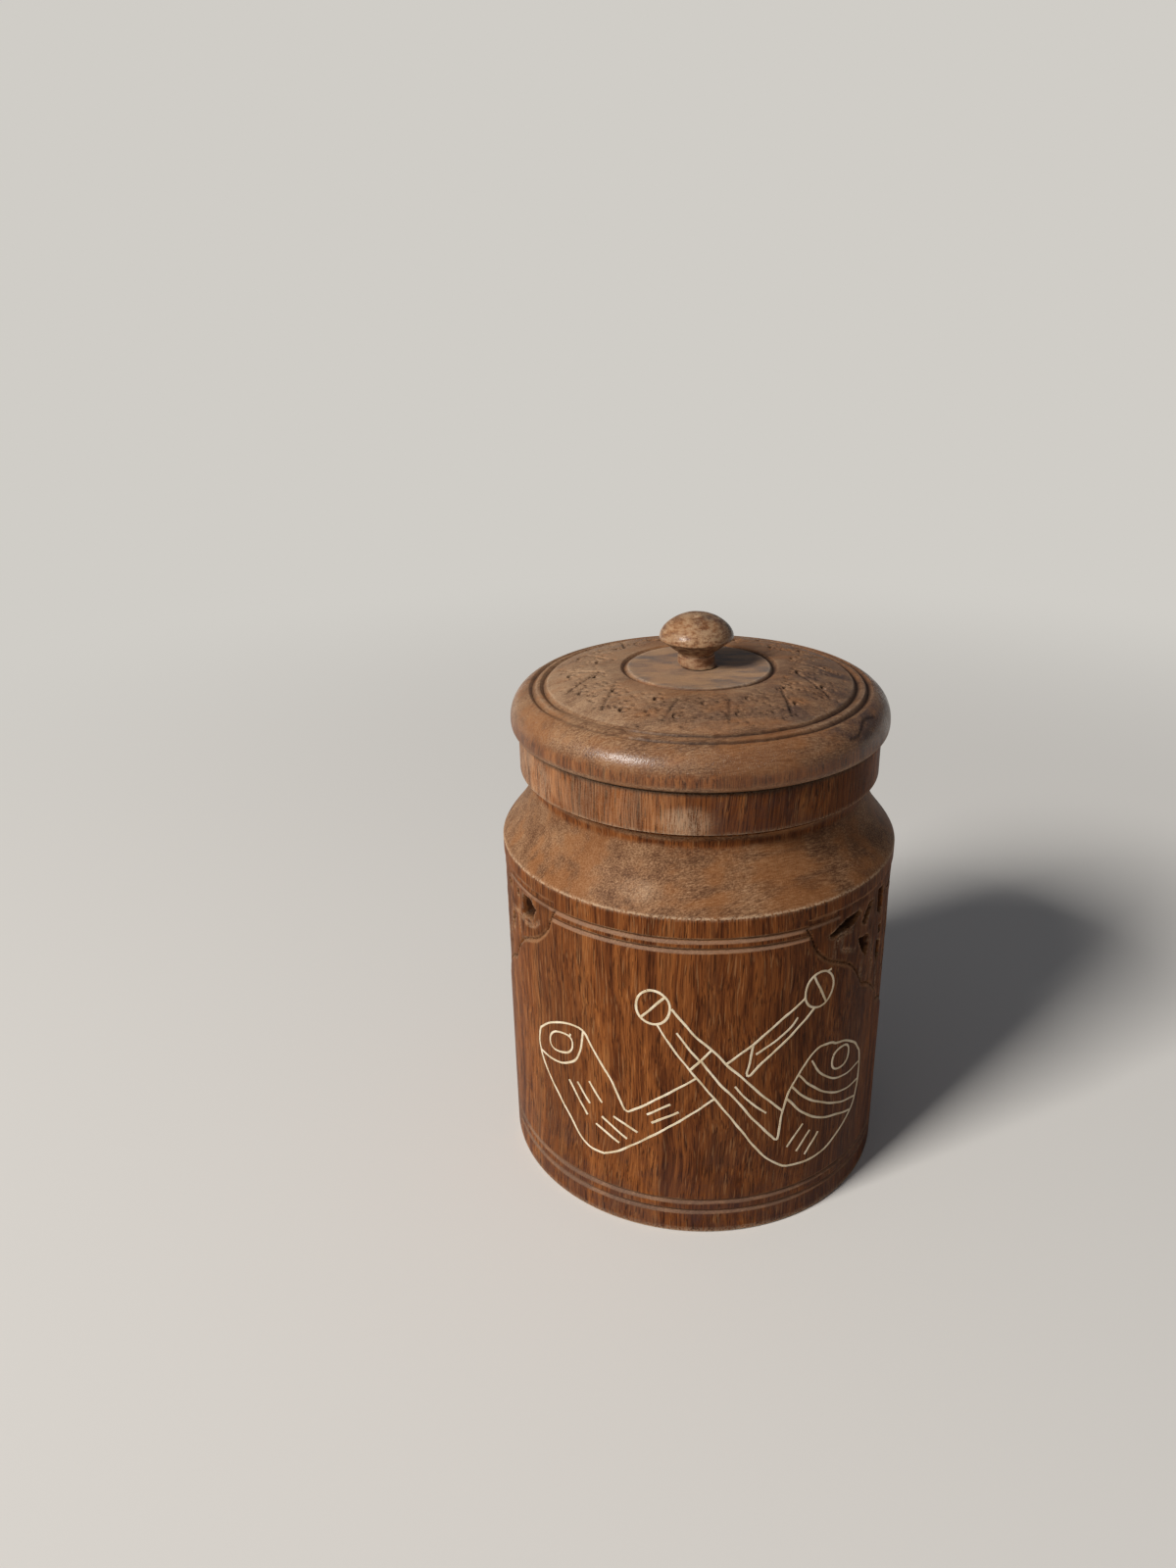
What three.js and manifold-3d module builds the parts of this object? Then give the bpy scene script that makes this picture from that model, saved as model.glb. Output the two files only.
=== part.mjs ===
// A turned wooden tobacco jar with a lift-off lid. Two crossed smoking pipes are
// drawn on its wall in thin strips of pale inlay, each strip let into a groove.
// Millimetres, +Z up, origin at the middle of the jar's foot; the pipes face -Y.
import * as THREE from 'three';
import { mergeVertices } from 'three/addons/utils/BufferGeometryUtils.js';
import Module from 'manifold-3d';

// Jar: one block, turned outside and bored straight down from the mouth
const BODY_RADIUS = 62;
const WALL_TOP = 112;
const FOOT_CHAMFER = 0.8;
const NECK_HEIGHT = 22.4;
const NECK_WAIST_HEIGHT = 17.6;
const SHOULDER_FULLNESS = 4;
const SHOULDER_LEAN = 1.9;
const NECK_SWEEP = 10;
const NECK_FLARE = 2.5;
const COLLAR_INSET = 6.5;
const NECK_INSET = 3.5;
const FILLET_INSET = 1.3;
const FILLET_HEIGHT = 1;
const COLLAR_HEIGHT = 12.8;
const COLLAR_WALL = 9.5;
const MOUTH_CHAMFER = 0.8;
const FLOOR_THICKNESS = 12;

// Turned V grooves: pairs near the foot and the wall's top, a pair and a ring on the lid
const GROOVE_WIDTH = 1.8;
const GROOVE_DEPTH = 0.7;
const FOOT_TO_GROOVE = 8.3;
const FOOT_GROOVE_SPACING = 3.9;
const WALL_TOP_TO_GROOVE = 7;
const WALL_TOP_GROOVE_SPACING = 3.1;
const LID_EDGE_TO_GROOVE = 7;
const LID_GROOVE_SPACING = 3.4;
const LID_RING_RADIUS = 22.6;

// Lid: its rim overhangs the collar, and its spigot drops into the mouth
const LID_OVERHANG = 2.3;
const LID_FOOT_OVERHANG = 0.3;
const LID_WIDEST_HEIGHT = 3.1;
const LID_SIDE_RISE = 4.6;
const LID_EDGE_RUN = 2.6;
const LID_EDGE_FALL = 1.3;
const LID_GROOVE_HEIGHT = 11.9;
const LID_GROOVE_RISE = 1.1;
const LID_DOME_RISE = 4.3;
const LID_SEAT_GAP = 0.3;
const SPIGOT_CLEARANCE = 0.5;
const SPIGOT_DEPTH = 6.5;
const SPIGOT_CHAMFER = 0.8;

// Knob: turned by itself, its tenon glued into a blind hole in the lid
const KNOB_RADIUS = 11.2;
const KNOB_NECK_RADIUS = 5.6;
const KNOB_NECK_HEIGHT = 4;
const KNOB_NECK_STEP = 0.35;
const KNOB_FLARE_HEIGHT = 5.8;
const KNOB_FLARE_WIDTH = 1.5;
const KNOB_WIDEST_HEIGHT = 9.3;
const KNOB_EDGE_ROUNDING = 0.5;
const KNOB_SIDE_RISE = 3.2;
const KNOB_CROWN_WIDTH = 6;
const KNOB_HEIGHT = 16.6;
const TENON_RADIUS = 4;
const TENON_LENGTH = 10;
const GLUE_GAP = 0.3;

// Inlay strips and the grooves that hold them
const STRIP_WIDTH = 0.9;
const STRIP_DEPTH = 1.4;
const INLAY_GAP = 0.3;
const RING_END_GAP = 0.9;
const CUT_ABOVE_WALL = 1;

// Fineness of the round surfaces
const JAR_SEGMENTS = 60;
const KNOB_SEGMENTS = 32;
const CURVE_STEPS = 5;
const STRIP_STEP = 4.5;
const RING_STEP = 1.8;

const JAR_WOOD = { color: 0x9a6238, roughness: 0.5, metalness: 0 };
const LID_WOOD = { color: 0xa5754b, roughness: 0.5, metalness: 0 };
const INLAY = { color: 0xe6d8bd, roughness: 0.45, metalness: 0 };

const collarRadius = BODY_RADIUS - COLLAR_INSET;
const boreRadius = collarRadius - COLLAR_WALL;
const collarBottom = WALL_TOP + NECK_HEIGHT;
const mouthHeight = collarBottom + COLLAR_HEIGHT;
const footGrooves = [FOOT_TO_GROOVE, FOOT_TO_GROOVE + FOOT_GROOVE_SPACING];
const topGroove = WALL_TOP - WALL_TOP_TO_GROOVE;
const wallTopGrooves = [topGroove - WALL_TOP_GROOVE_SPACING, topGroove];
const lidBottom = mouthHeight + LID_SEAT_GAP;
const lidRadius = collarRadius + LID_OVERHANG;
const lidTop = lidBottom + LID_GROOVE_HEIGHT + LID_GROOVE_RISE + LID_DOME_RISE;
const knobBottom = lidTop + GLUE_GAP;

// The drawing is laid out flat and then bent round the wall. u runs to the right
// along the wall from its front, and v runs up from the middle of the plain wall
// between the grooves. A strip is the list of [u, v] that its centre line runs through.
const drawingMiddle = (footGrooves[1] + wallTopGrooves[0]) / 2;

const LEFT_PIPE = {
  bowl_rim_far: [[-52.8, 3.4], [-48, 7.2], [-43, 9.6], [-39, 10.8], [-35.4, 10.8]],
  bowl_rim_near: [[-52.6, -6.2], [-48, -6.4], [-42.5, -5], [-38, -1.8], [-35.8, 2.4], [-34.9, 7.2]],
  bowl_outer_side: [
    [-54.2, 1.4], [-54.7, -4], [-52, -10.5], [-45.8, -18.2], [-39.8, -25.4], [-36, -30.5],
    [-32.6, -32.4], [-28.8, -32.8],
  ],
  bowl_inner_side: [[-33.7, 9.8], [-29.3, 2.8], [-24.7, -4], [-20.9, -12.6]],
  shank_underside: [[-27.2, -32.4], [-23.4, -30.2], [-16.4, -24.6], [-8.3, -18], [-0.5, -11.6], [4.7, -7.2]],
  shank_top: [[-19.8, -14], [-16.3, -11.6], [-8.4, -5.4], [0, 0.9]],
  stem_top: [[10.6, 7.2], [13.4, 9.4], [17.6, 12.5], [24.8, 18.4], [32.4, 23.6]],
  stem_underside: [[16.7, 1.4], [20.8, 5.8], [27.3, 11.2], [33.8, 16.8], [36.3, 19.1]],
  stem_end: [[17.5, 11.1], [16.9, 6.8], [15.9, 2.3]],
  stem_line: [[18.6, 9], [25, 12.8], [29.4, 16], [31.6, 18.8]],
  bowl_dash_1: [[-40.6, -10.2], [-33.6, -20.2]],
  bowl_dash_2: [[-37.2, -9.4], [-32.6, -15.4]],
  bowl_dash_3: [[-32.7, -7.2], [-28.2, -13.4]],
  heel_dash_1: [[-30.5, -22.2], [-22.4, -26.5]],
  heel_dash_2: [[-28.3, -18.6], [-19.8, -24.1]],
  heel_dash_3: [[-24.2, -17], [-16.4, -20.6]],
  shank_dash_1: [[-13.4, -13.2], [-6.3, -8.2]],
  shank_dash_2: [[-12, -16], [-3.8, -10.8]],
  mouthpiece_bar: [[37.4, 29.8], [41, 22.6]],
};

const RIGHT_PIPE = {
  stem_top: [
    [-5.4, 24.4], [-2.8, 21], [1.2, 16], [6.4, 11], [9.8, 6.6], [15.5, 0.5], [19.4, -4.2], [26.2, -11.6],
  ],
  stem_underside: [
    [-9.6, 18.2], [-6.4, 12.8], [-1, 5], [6.8, -5.8], [14.2, -16.8], [20.1, -26], [24.4, -31.2],
    [28.4, -34.4],
  ],
  stem_line: [[-4.6, 17.4], [-1.6, 12.8], [0.9, 9.5]],
  shank_line: [[3.4, 6.6], [8, -0.2], [13.2, -6.6], [17.8, -13.4], [23.6, -20.8], [26.2, -24.2]],
  stem_band: [[4.9, 11], [0.3, 5.7]],
  shank_dash: [[12.6, -1.6], [16.6, -7], [22.6, -13]],
  bowl_inner_side: [
    [27.1, -23.2], [27.3, -19.8], [28.2, -13.4], [30.2, -6.6], [33.2, -1.8], [36.8, 2.9],
    [40.6, 5.2], [45.4, 4.8],
  ],
  bowl_rim_far: [[46.8, 3.8], [52.4, 2.1], [57.6, -1.4], [60.4, -5]],
  bowl_outer_side: [
    [61.4, -7.2], [61.9, -13.6], [61.2, -20.4], [58.9, -26.2], [50.2, -33], [44.2, -35.8],
    [36.8, -36.4], [29.8, -35.3],
  ],
  bowl_arc_1: [[37.8, 1.4], [40.8, -3.8], [47.2, -9.2], [53.8, -11], [60.3, -10.6]],
  bowl_arc_2: [[34, -3.2], [37.6, -7.4], [45.6, -13.8], [53.6, -16.8], [60.5, -17.2]],
  bowl_arc_3: [[31.5, -6.4], [36.2, -11.6], [43.6, -16.6], [51.2, -20.4], [59.1, -22.8]],
  bowl_arc_4: [[30.2, -10.6], [35.4, -16.8], [42.8, -22], [49.2, -24.2], [56.8, -26.8]],
  heel_dash_1: [[35.7, -21.2], [30.2, -28]],
  heel_dash_2: [[38.6, -24.8], [33.8, -31]],
  heel_dash_3: [[42.2, -27], [37.1, -33.6]],
  mouthpiece_bar: [[-14.6, 21.9], [-8.7, 28.5]],
};

// Strips bent into rings: [centre u, centre v, half width, half height, degrees to where its ends meet]
const RINGS = {
  left_pipe_bowl_hole: [-43.3, 2.1, 4.5, 4.2, 50],
  left_pipe_mouthpiece: [39.1, 26, 5.3, 6, 60],
  right_pipe_bowl_hole: [50.4, -2.9, 4, 3.8, 150],
  right_pipe_mouthpiece: [-11.6, 25.2, 5.1, 5.8, 110],
};

const wasm = await Module();
wasm.setup();

// A V groove in an upright wall, met from below
function wallGroove(path, radius, height) {
  path.lineTo(radius, height - GROOVE_WIDTH / 2);
  path.lineTo(radius - GROOVE_DEPTH, height);
  path.lineTo(radius, height + GROOVE_WIDTH / 2);
}

// A V groove in the top of the lid, met from outside
function lidGroove(path, radius, height) {
  path.lineTo(radius + GROOVE_WIDTH / 2, height);
  path.lineTo(radius, height - GROOVE_DEPTH);
  path.lineTo(radius - GROOVE_WIDTH / 2, height);
}

// The outline runs from the middle of the foot, up the outside and down the bore
function jarOutline() {
  const waistRadius = collarRadius - NECK_INSET;
  const waistHeight = WALL_TOP + NECK_WAIST_HEIGHT;
  const filletRadius = collarRadius - FILLET_INSET;
  const filletBottom = collarBottom - FILLET_HEIGHT;
  const path = new THREE.Path();
  path.moveTo(0, 0);
  path.lineTo(BODY_RADIUS - FOOT_CHAMFER, 0);
  path.lineTo(BODY_RADIUS, FOOT_CHAMFER);
  for (const height of [...footGrooves, ...wallTopGrooves]) {
    wallGroove(path, BODY_RADIUS, height);
  }
  path.lineTo(BODY_RADIUS, WALL_TOP);
  path.bezierCurveTo(
    BODY_RADIUS - SHOULDER_LEAN, WALL_TOP + SHOULDER_FULLNESS,
    waistRadius + NECK_FLARE, waistHeight - NECK_SWEEP,
    waistRadius, waistHeight,
  );
  path.quadraticCurveTo(waistRadius, filletBottom, filletRadius, filletBottom);
  path.lineTo(filletRadius, collarBottom);
  path.lineTo(collarRadius, collarBottom);
  path.lineTo(collarRadius, mouthHeight - MOUTH_CHAMFER);
  path.lineTo(collarRadius - MOUTH_CHAMFER, mouthHeight);
  path.lineTo(boreRadius + MOUTH_CHAMFER, mouthHeight);
  path.lineTo(boreRadius, mouthHeight - MOUTH_CHAMFER);
  path.lineTo(boreRadius, FLOOR_THICKNESS);
  path.lineTo(0, FLOOR_THICKNESS);
  return path;
}

// The outline runs from under the spigot, round the rim and over the dome to the knob's hole
function lidOutline() {
  const spigotBottom = mouthHeight - SPIGOT_DEPTH;
  const spigotRadius = boreRadius - SPIGOT_CLEARANCE;
  const footRadius = collarRadius + LID_FOOT_OVERHANG;
  const widestHeight = lidBottom + LID_WIDEST_HEIGHT;
  const outerGroove = lidRadius - LID_EDGE_TO_GROOVE;
  const innerGroove = outerGroove - LID_GROOVE_SPACING;
  const outerHeight = lidBottom + LID_GROOVE_HEIGHT;
  const innerHeight = outerHeight + LID_GROOVE_RISE;
  const edgeRadius = outerGroove + GROOVE_WIDTH;
  const edgeHeight = outerHeight - GROOVE_DEPTH / 2;
  const holeRadius = TENON_RADIUS + GLUE_GAP;
  const path = new THREE.Path();
  path.moveTo(0, spigotBottom);
  path.lineTo(spigotRadius - SPIGOT_CHAMFER, spigotBottom);
  path.lineTo(spigotRadius, spigotBottom + SPIGOT_CHAMFER);
  path.lineTo(spigotRadius, lidBottom);
  path.lineTo(footRadius, lidBottom);
  path.quadraticCurveTo(lidRadius, lidBottom, lidRadius, widestHeight);
  path.bezierCurveTo(
    lidRadius, widestHeight + LID_SIDE_RISE,
    edgeRadius + LID_EDGE_RUN, edgeHeight - LID_EDGE_FALL,
    edgeRadius, edgeHeight,
  );
  lidGroove(path, outerGroove, outerHeight);
  lidGroove(path, innerGroove, innerHeight);
  path.quadraticCurveTo((innerGroove + LID_RING_RADIUS) / 2, lidTop, LID_RING_RADIUS + GROOVE_WIDTH, lidTop);
  lidGroove(path, LID_RING_RADIUS, lidTop);
  path.lineTo(holeRadius, lidTop);
  path.lineTo(holeRadius, lidTop - TENON_LENGTH - GLUE_GAP);
  path.lineTo(0, lidTop - TENON_LENGTH - GLUE_GAP);
  return path;
}

// The outline runs from the tenon's end up the neck, out under the cap and over its crown
function knobOutline() {
  const neckTop = lidTop + KNOB_NECK_HEIGHT;
  const waist = KNOB_NECK_RADIUS - KNOB_NECK_STEP;
  const flareRadius = KNOB_NECK_RADIUS + KNOB_FLARE_WIDTH;
  const flareHeight = lidTop + KNOB_FLARE_HEIGHT;
  const widest = lidTop + KNOB_WIDEST_HEIGHT;
  const edgeBottom = widest - KNOB_EDGE_ROUNDING;
  const crown = lidTop + KNOB_HEIGHT;
  const path = new THREE.Path();
  path.moveTo(0, lidTop - TENON_LENGTH);
  path.lineTo(TENON_RADIUS, lidTop - TENON_LENGTH);
  path.lineTo(TENON_RADIUS, knobBottom);
  path.lineTo(KNOB_NECK_RADIUS, knobBottom);
  path.lineTo(KNOB_NECK_RADIUS, neckTop);
  path.lineTo(waist, neckTop);
  path.quadraticCurveTo(waist, (neckTop + flareHeight) / 2, flareRadius, flareHeight);
  path.lineTo(KNOB_RADIUS - KNOB_EDGE_ROUNDING, edgeBottom);
  path.quadraticCurveTo(KNOB_RADIUS, edgeBottom, KNOB_RADIUS, widest);
  path.bezierCurveTo(KNOB_RADIUS, widest + KNOB_SIDE_RISE, KNOB_CROWN_WIDTH, crown, 0, crown);
  return path;
}

// Spins an outline of (radius, height) about Z; it starts and ends on the axis
function turned(path, segments) {
  const geometry = new THREE.LatheGeometry(path.getPoints(CURVE_STEPS), segments);
  geometry.rotateX(Math.PI / 2);
  return geometry;
}

// A square-ended bar along a line drawn flat, bent round the wall between two radii.
// Its two ends are pushed out by extra.
function bentBar(line, steps, width, innerRadius, outerRadius, extra) {
  const depth = outerRadius - innerRadius;
  const geometry = new THREE.BoxGeometry(1, width, depth, steps, 1, 1);
  const places = geometry.attributes.position;
  for (let i = 0; i < places.count; i += 1) {
    const along = places.getX(i) + 0.5;
    const centre = line.getPointAt(along);
    const tangent = line.getTangentAt(along);
    const push = extra * Math.trunc(2 * along - 1);
    const aside = places.getY(i);
    const angle = (centre.x + push * tangent.x - aside * tangent.y) / BODY_RADIUS;
    const height = drawingMiddle + centre.y + push * tangent.y + aside * tangent.x;
    const radius = innerRadius + depth / 2 + places.getZ(i);
    places.setXYZ(i, radius * Math.sin(angle), -radius * Math.cos(angle), height);
  }
  return geometry;
}

function toSolid(geometry) {
  const bare = geometry.clone();
  bare.deleteAttribute('normal');
  bare.deleteAttribute('uv');
  const merged = mergeVertices(bare, 1e-4);
  const corners = merged.index.array;
  const kept = [];
  for (let i = 0; i < corners.length; i += 3) {
    const [a, b, c] = [corners[i], corners[i + 1], corners[i + 2]];
    if (a !== b && b !== c && c !== a) kept.push(a, b, c);
  }
  return new wasm.Manifold(new wasm.Mesh({
    numProp: 3,
    vertProperties: new Float32Array(merged.attributes.position.array),
    triVerts: new Uint32Array(kept),
  }));
}

function fromSolid(solid) {
  const mesh = solid.getMesh();
  const geometry = new THREE.BufferGeometry();
  geometry.setAttribute('position', new THREE.BufferAttribute(new Float32Array(mesh.vertProperties), 3));
  geometry.setIndex(new THREE.BufferAttribute(new Uint32Array(mesh.triVerts), 1));
  geometry.computeVertexNormals();
  return geometry;
}

function piece(name, geometry, finish) {
  const mesh = new THREE.Mesh(geometry, new THREE.MeshStandardMaterial(finish));
  mesh.name = name;
  return mesh;
}

const group = new THREE.Group();
let jarSolid = toSolid(turned(jarOutline(), JAR_SEGMENTS));

// Lets one strip into the jar's wall along a line, with a clearance all round it
function inlay(name, line, step) {
  const steps = Math.ceil(line.getLength() / step);
  const inner = BODY_RADIUS - STRIP_DEPTH;
  const strip = bentBar(line, steps, STRIP_WIDTH, inner, BODY_RADIUS, 0);
  const grooveWidth = STRIP_WIDTH + 2 * INLAY_GAP;
  const outer = BODY_RADIUS + CUT_ABOVE_WALL;
  const groove = bentBar(line, steps, grooveWidth, inner - INLAY_GAP, outer, INLAY_GAP);
  jarSolid = jarSolid.subtract(toSolid(groove));
  group.add(piece(`inlay_${name}`, strip, INLAY));
}

for (const [pipe, strips] of Object.entries({ left_pipe: LEFT_PIPE, right_pipe: RIGHT_PIPE })) {
  for (const [name, places] of Object.entries(strips)) {
    const corners = places.map(([u, v]) => new THREE.Vector3(u, v, 0));
    const line = new THREE.CatmullRomCurve3(corners, false, 'centripetal');
    inlay(`${pipe}_${name}`, line, STRIP_STEP);
  }
}
for (const [name, [u, v, halfWidth, halfHeight, jointDegrees]] of Object.entries(RINGS)) {
  const joint = THREE.MathUtils.degToRad(jointDegrees);
  const halfGap = RING_END_GAP / (halfWidth + halfHeight);
  const line = new THREE.EllipseCurve(
    u, v, halfWidth, halfHeight, joint + halfGap, joint + 2 * Math.PI - halfGap,
  );
  inlay(name, line, RING_STEP);
}

group.add(piece('jar', fromSolid(jarSolid), JAR_WOOD));
group.add(piece('lid', turned(lidOutline(), JAR_SEGMENTS), LID_WOOD));
group.add(piece('knob', turned(knobOutline(), KNOB_SEGMENTS), LID_WOOD));

export default group;
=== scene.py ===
# Looks of a turned wooden tobacco jar with two crossed pipes inlaid on its wall, built
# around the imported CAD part. Sizes are in millimetres and become metres when a mesh is
# made. Round the jar, u is the distance along the wall to the right of its front (-Y). In
# names, r or R is a radius and z or Z a height.
import math

import bmesh
import bpy
import numpy as np
from mathutils import Matrix, Vector


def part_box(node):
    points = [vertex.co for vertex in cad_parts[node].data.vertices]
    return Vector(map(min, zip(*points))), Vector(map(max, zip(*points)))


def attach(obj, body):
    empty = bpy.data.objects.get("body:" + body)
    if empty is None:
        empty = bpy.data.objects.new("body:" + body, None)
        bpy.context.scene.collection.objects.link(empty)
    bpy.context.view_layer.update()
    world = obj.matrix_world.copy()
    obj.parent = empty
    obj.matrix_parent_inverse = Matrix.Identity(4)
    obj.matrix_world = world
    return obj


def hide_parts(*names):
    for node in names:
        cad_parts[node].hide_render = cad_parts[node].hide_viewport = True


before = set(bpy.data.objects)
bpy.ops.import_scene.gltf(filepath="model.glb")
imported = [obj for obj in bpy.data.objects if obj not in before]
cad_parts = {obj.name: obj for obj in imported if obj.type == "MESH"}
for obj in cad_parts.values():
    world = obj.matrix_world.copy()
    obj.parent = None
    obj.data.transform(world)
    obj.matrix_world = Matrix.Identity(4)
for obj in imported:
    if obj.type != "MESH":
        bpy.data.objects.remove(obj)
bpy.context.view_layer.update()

MM = 0.001

# Overall sizes, read from the frame
BODY_R, _, MOUTH_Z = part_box("jar")[1] / MM
_, _, SPIGOT_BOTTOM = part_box("lid")[0] / MM
LID_R, _, LID_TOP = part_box("lid")[1] / MM
_, _, TENON_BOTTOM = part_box("knob")[0] / MM
KNOB_R, _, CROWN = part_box("knob")[1] / MM

# Jar
CHAMFER = 0.8
WALL_TOP = 112
SHOULDER_FULLNESS = 4
SHOULDER_LEAN = 1.9
NECK_SWEEP = 10
NECK_FLARE = 2.5
NECK_WAIST_Z = WALL_TOP + 17.6
COLLAR_R = BODY_R - 6.5
WAIST_R = COLLAR_R - 3.5
FILLET_R = COLLAR_R - 1.3
FILLET_HEIGHT = 1
COLLAR_BOTTOM = MOUTH_Z - 12.8
BORE_R = COLLAR_R - 9.5
FLOOR_TOP = 12
FLOOR_ROUNDING = 1.5

# Turned V grooves
GROOVE_WIDTH = 1.8
GROOVE_DEPTH = 0.7
FOOT_GROOVES = (8.3, 12.2)
# Each upper groove has its z and the (start u, end u) spans that the leaves leave of it
TOP_GROOVES = [(101.9, [(-46.6, 35.2), (148.5, 230.2)]), (105, [(-74, 46.5), (140, 238)])]
LID_GROOVES = (LID_R - 7, LID_R - 10.4)
LID_RING_R = 22.6

# Lid and knob
LID_BOTTOM = MOUTH_Z + 0.3
LID_FOOT_R = COLLAR_R + 0.3
LID_WIDEST = LID_BOTTOM + 3.1
LID_SIDE_RISE = 4.6
LID_EDGE_RUN = 2.6
LID_EDGE_FALL = 1.3
LID_GROOVE_Z = LID_BOTTOM + 11.9
LID_GROOVE_RISE = 1.1
SPIGOT_R = BORE_R - 0.5
KNOB_NECK_R = 5.6
KNOB_NECK_TOP = LID_TOP + 4
KNOB_NECK_STEP = 0.35
KNOB_FLARE = (7.1, LID_TOP + 5.8)
KNOB_WIDEST = LID_TOP + 9.3
KNOB_ROUNDING = 0.5
KNOB_SIDE_RISE = 3.2
KNOB_CROWN_WIDTH = 6
KNOB_ASIDE = -0.8
TENON_R = 4
LID_COLUMNS = 680
KNOB_COLUMNS = 128
HOLE_DEPTH = 10.3
GLUE_GAP = 0.3

# Inlay strips
STRIP_WIDTH = 0.77
STRIP_DEPTH = 1.1
STRIP_PROUD = 0.03
PROUD_STEP = 0.02
STRIP_BEVEL = 0.1
STRIP_STEP = 0.7
STRIP_REACH = 3.1
REACHES = (("dash", 0), ("left_pipe_stem_line", 0), ("arc", 1.6))
STRIP_WAVER = 0.05
RING_END_GAP = 0.12
DRAWING_Z = (FOOT_GROOVES[1] + TOP_GROOVES[0][0]) / 2

TURN = 2 * math.pi * BODY_R
SHARP_DEGREES = 30


def smooth(value, low, high):
    """Rises from 0 at low to 1 at high."""
    t = np.clip((value - low) / (high - low), 0, 1)
    return t * t * (3 - 2 * t)


def bell(far, width):
    """1 at no distance, falling off smoothly over a width."""
    return np.exp(-((far / width) ** 2))


def most(*fields):
    """The greatest of several fields at each place."""
    return np.max(fields, axis=0)


def spline(points, step):
    """A centripetal Catmull-Rom curve through flat points, sampled about every step."""
    points = np.array(points, float)
    ends = [2 * points[0] - points[1], 2 * points[-1] - points[-2]]
    points = np.vstack([ends[0], points, ends[1]])
    out = []
    for a, b, c, d in zip(points, points[1:], points[2:], points[3:]):
        gaps = [np.linalg.norm(q - p) ** 0.5 for p, q in ((a, b), (b, c), (c, d))]
        knots = np.cumsum([0] + gaps)
        count = max(2, math.ceil(np.linalg.norm(c - b) / step))
        for t in np.linspace(knots[1], knots[2], count, endpoint=False):
            def between(p, q, i, j):
                return p + (q - p) * (t - knots[i]) / (knots[j] - knots[i])
            ab, bc, cd = between(a, b, 0, 1), between(b, c, 1, 2), between(c, d, 2, 3)
            out.append(between(between(ab, bc, 0, 2), between(bc, cd, 1, 3), 1, 2))
    out.append(points[-2])
    return np.array(out)


def nearest(places, line):
    """For each flat place, the nearest point of a line, and how far along the line it is."""
    best = np.full(len(places), np.inf)
    spot = np.zeros_like(places)
    along = np.zeros(len(places))
    run = 0.0
    for start, end in zip(line, line[1:]):
        way = end - start
        length = max(np.linalg.norm(way), 1e-9)
        share = np.clip((places - start) @ way / length**2, 0, 1)
        there = start + share[:, None] * way
        far = np.hypot(*(places - there).T)
        closer = far < best
        best[closer] = far[closer]
        spot[closer] = there[closer]
        along[closer] = (run + share * length)[closer]
        run += length
    return best, spot, along / run


def inside(places, loop):
    """Whether each flat place lies inside a closed line."""
    odd = np.zeros(len(places), bool)
    for (ax, ay), (bx, by) in zip(loop, np.roll(loop, -1, axis=0)):
        crosses = (ay > places[:, 1]) != (by > places[:, 1])
        slope = (bx - ax) / (by - ay if by != ay else 1e-9)
        odd ^= crosses & (places[:, 0] < ax + slope * (places[:, 1] - ay))
    return odd


def ripple(x, y, size, seed):
    """Smooth random values from -1 to 1 that change over a given size."""
    count = 64
    table = np.random.default_rng(seed).uniform(-1, 1, (count, count))
    gx, gy = x / size, y / size
    ix, iy = np.floor(gx).astype(int), np.floor(gy).astype(int)
    fx, fy = smooth(gx - ix, 0, 1), smooth(gy - iy, 0, 1)

    def row(j):
        return table[ix % count, j % count] * (1 - fx) + table[(ix + 1) % count, j % count] * fx

    return row(iy) * (1 - fy) + row(iy + 1) * fy


class Outline(list):
    """The (r, z, fine) rows of a turned outline, of which the fine ones get every column."""

    def curve(self, corners, steps, fine=False):
        """A Bezier curve from the last row by the given control points."""
        corners = np.array([self[-1][:2], *corners], float)
        for t in np.linspace(0, 1, steps + 1)[1:]:
            row = corners
            while len(row) > 1:
                row = row[:-1] + t * (row[1:] - row[:-1])
            self.append((*row[0], fine))

    def to(self, r, z, step, fine=False):
        """A straight line with a row about every step."""
        length = math.hypot(r - self[-1][0], z - self[-1][1])
        self.curve([(r, z)], max(1, math.ceil(length / step)), fine)


def linked(name, data):
    """A new object in the scene."""
    obj = bpy.data.objects.new(name, data)
    bpy.context.scene.collection.objects.link(obj)
    return obj


def mesh_object(name, vertices, faces, marks):
    """A smooth-shaded object with its sharp edges marked; marks are its point attributes."""
    mesh = bpy.data.meshes.new(name)
    mesh.from_pydata((np.asarray(vertices) * MM).tolist(), [], faces)
    for mark, values in marks.items():
        attribute = mesh.attributes.new(mark, "FLOAT", "POINT")
        attribute.data.foreach_set("value", np.asarray(values, np.float32))
    mesh.shade_smooth()
    mesh.set_sharp_from_angle(angle=math.radians(SHARP_DEGREES))
    mesh.validate()
    return linked(name, mesh)


def turned(name, outline, angles, deform):
    """Spins an outline round Z, with half as many columns on its coarse rows.

    deform takes each place's angle, r and z and gives them back moved, with the marks."""
    spots, rows, start = [], [], 0
    for r, z, fine in outline:
        around = angles[:1] if r == 0 else angles if fine else angles[::2]
        ones = np.ones_like(around)
        spots.append(np.stack([around, r * ones, z * ones], 1))
        rows.append(range(start, start + len(around)))
        start += len(around)
    angle, r, z, marks = deform(*np.concatenate(spots).T)
    places = np.stack([r * np.sin(angle), -r * np.cos(angle), z], 1)
    return mesh_object(name, places, skin(rows), marks)


def skin(rows):
    """The faces between rings of vertices, each ring given by its vertices' numbers."""
    return [face for below, above in zip(rows, rows[1:]) for face in stitched(below, above)]


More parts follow.
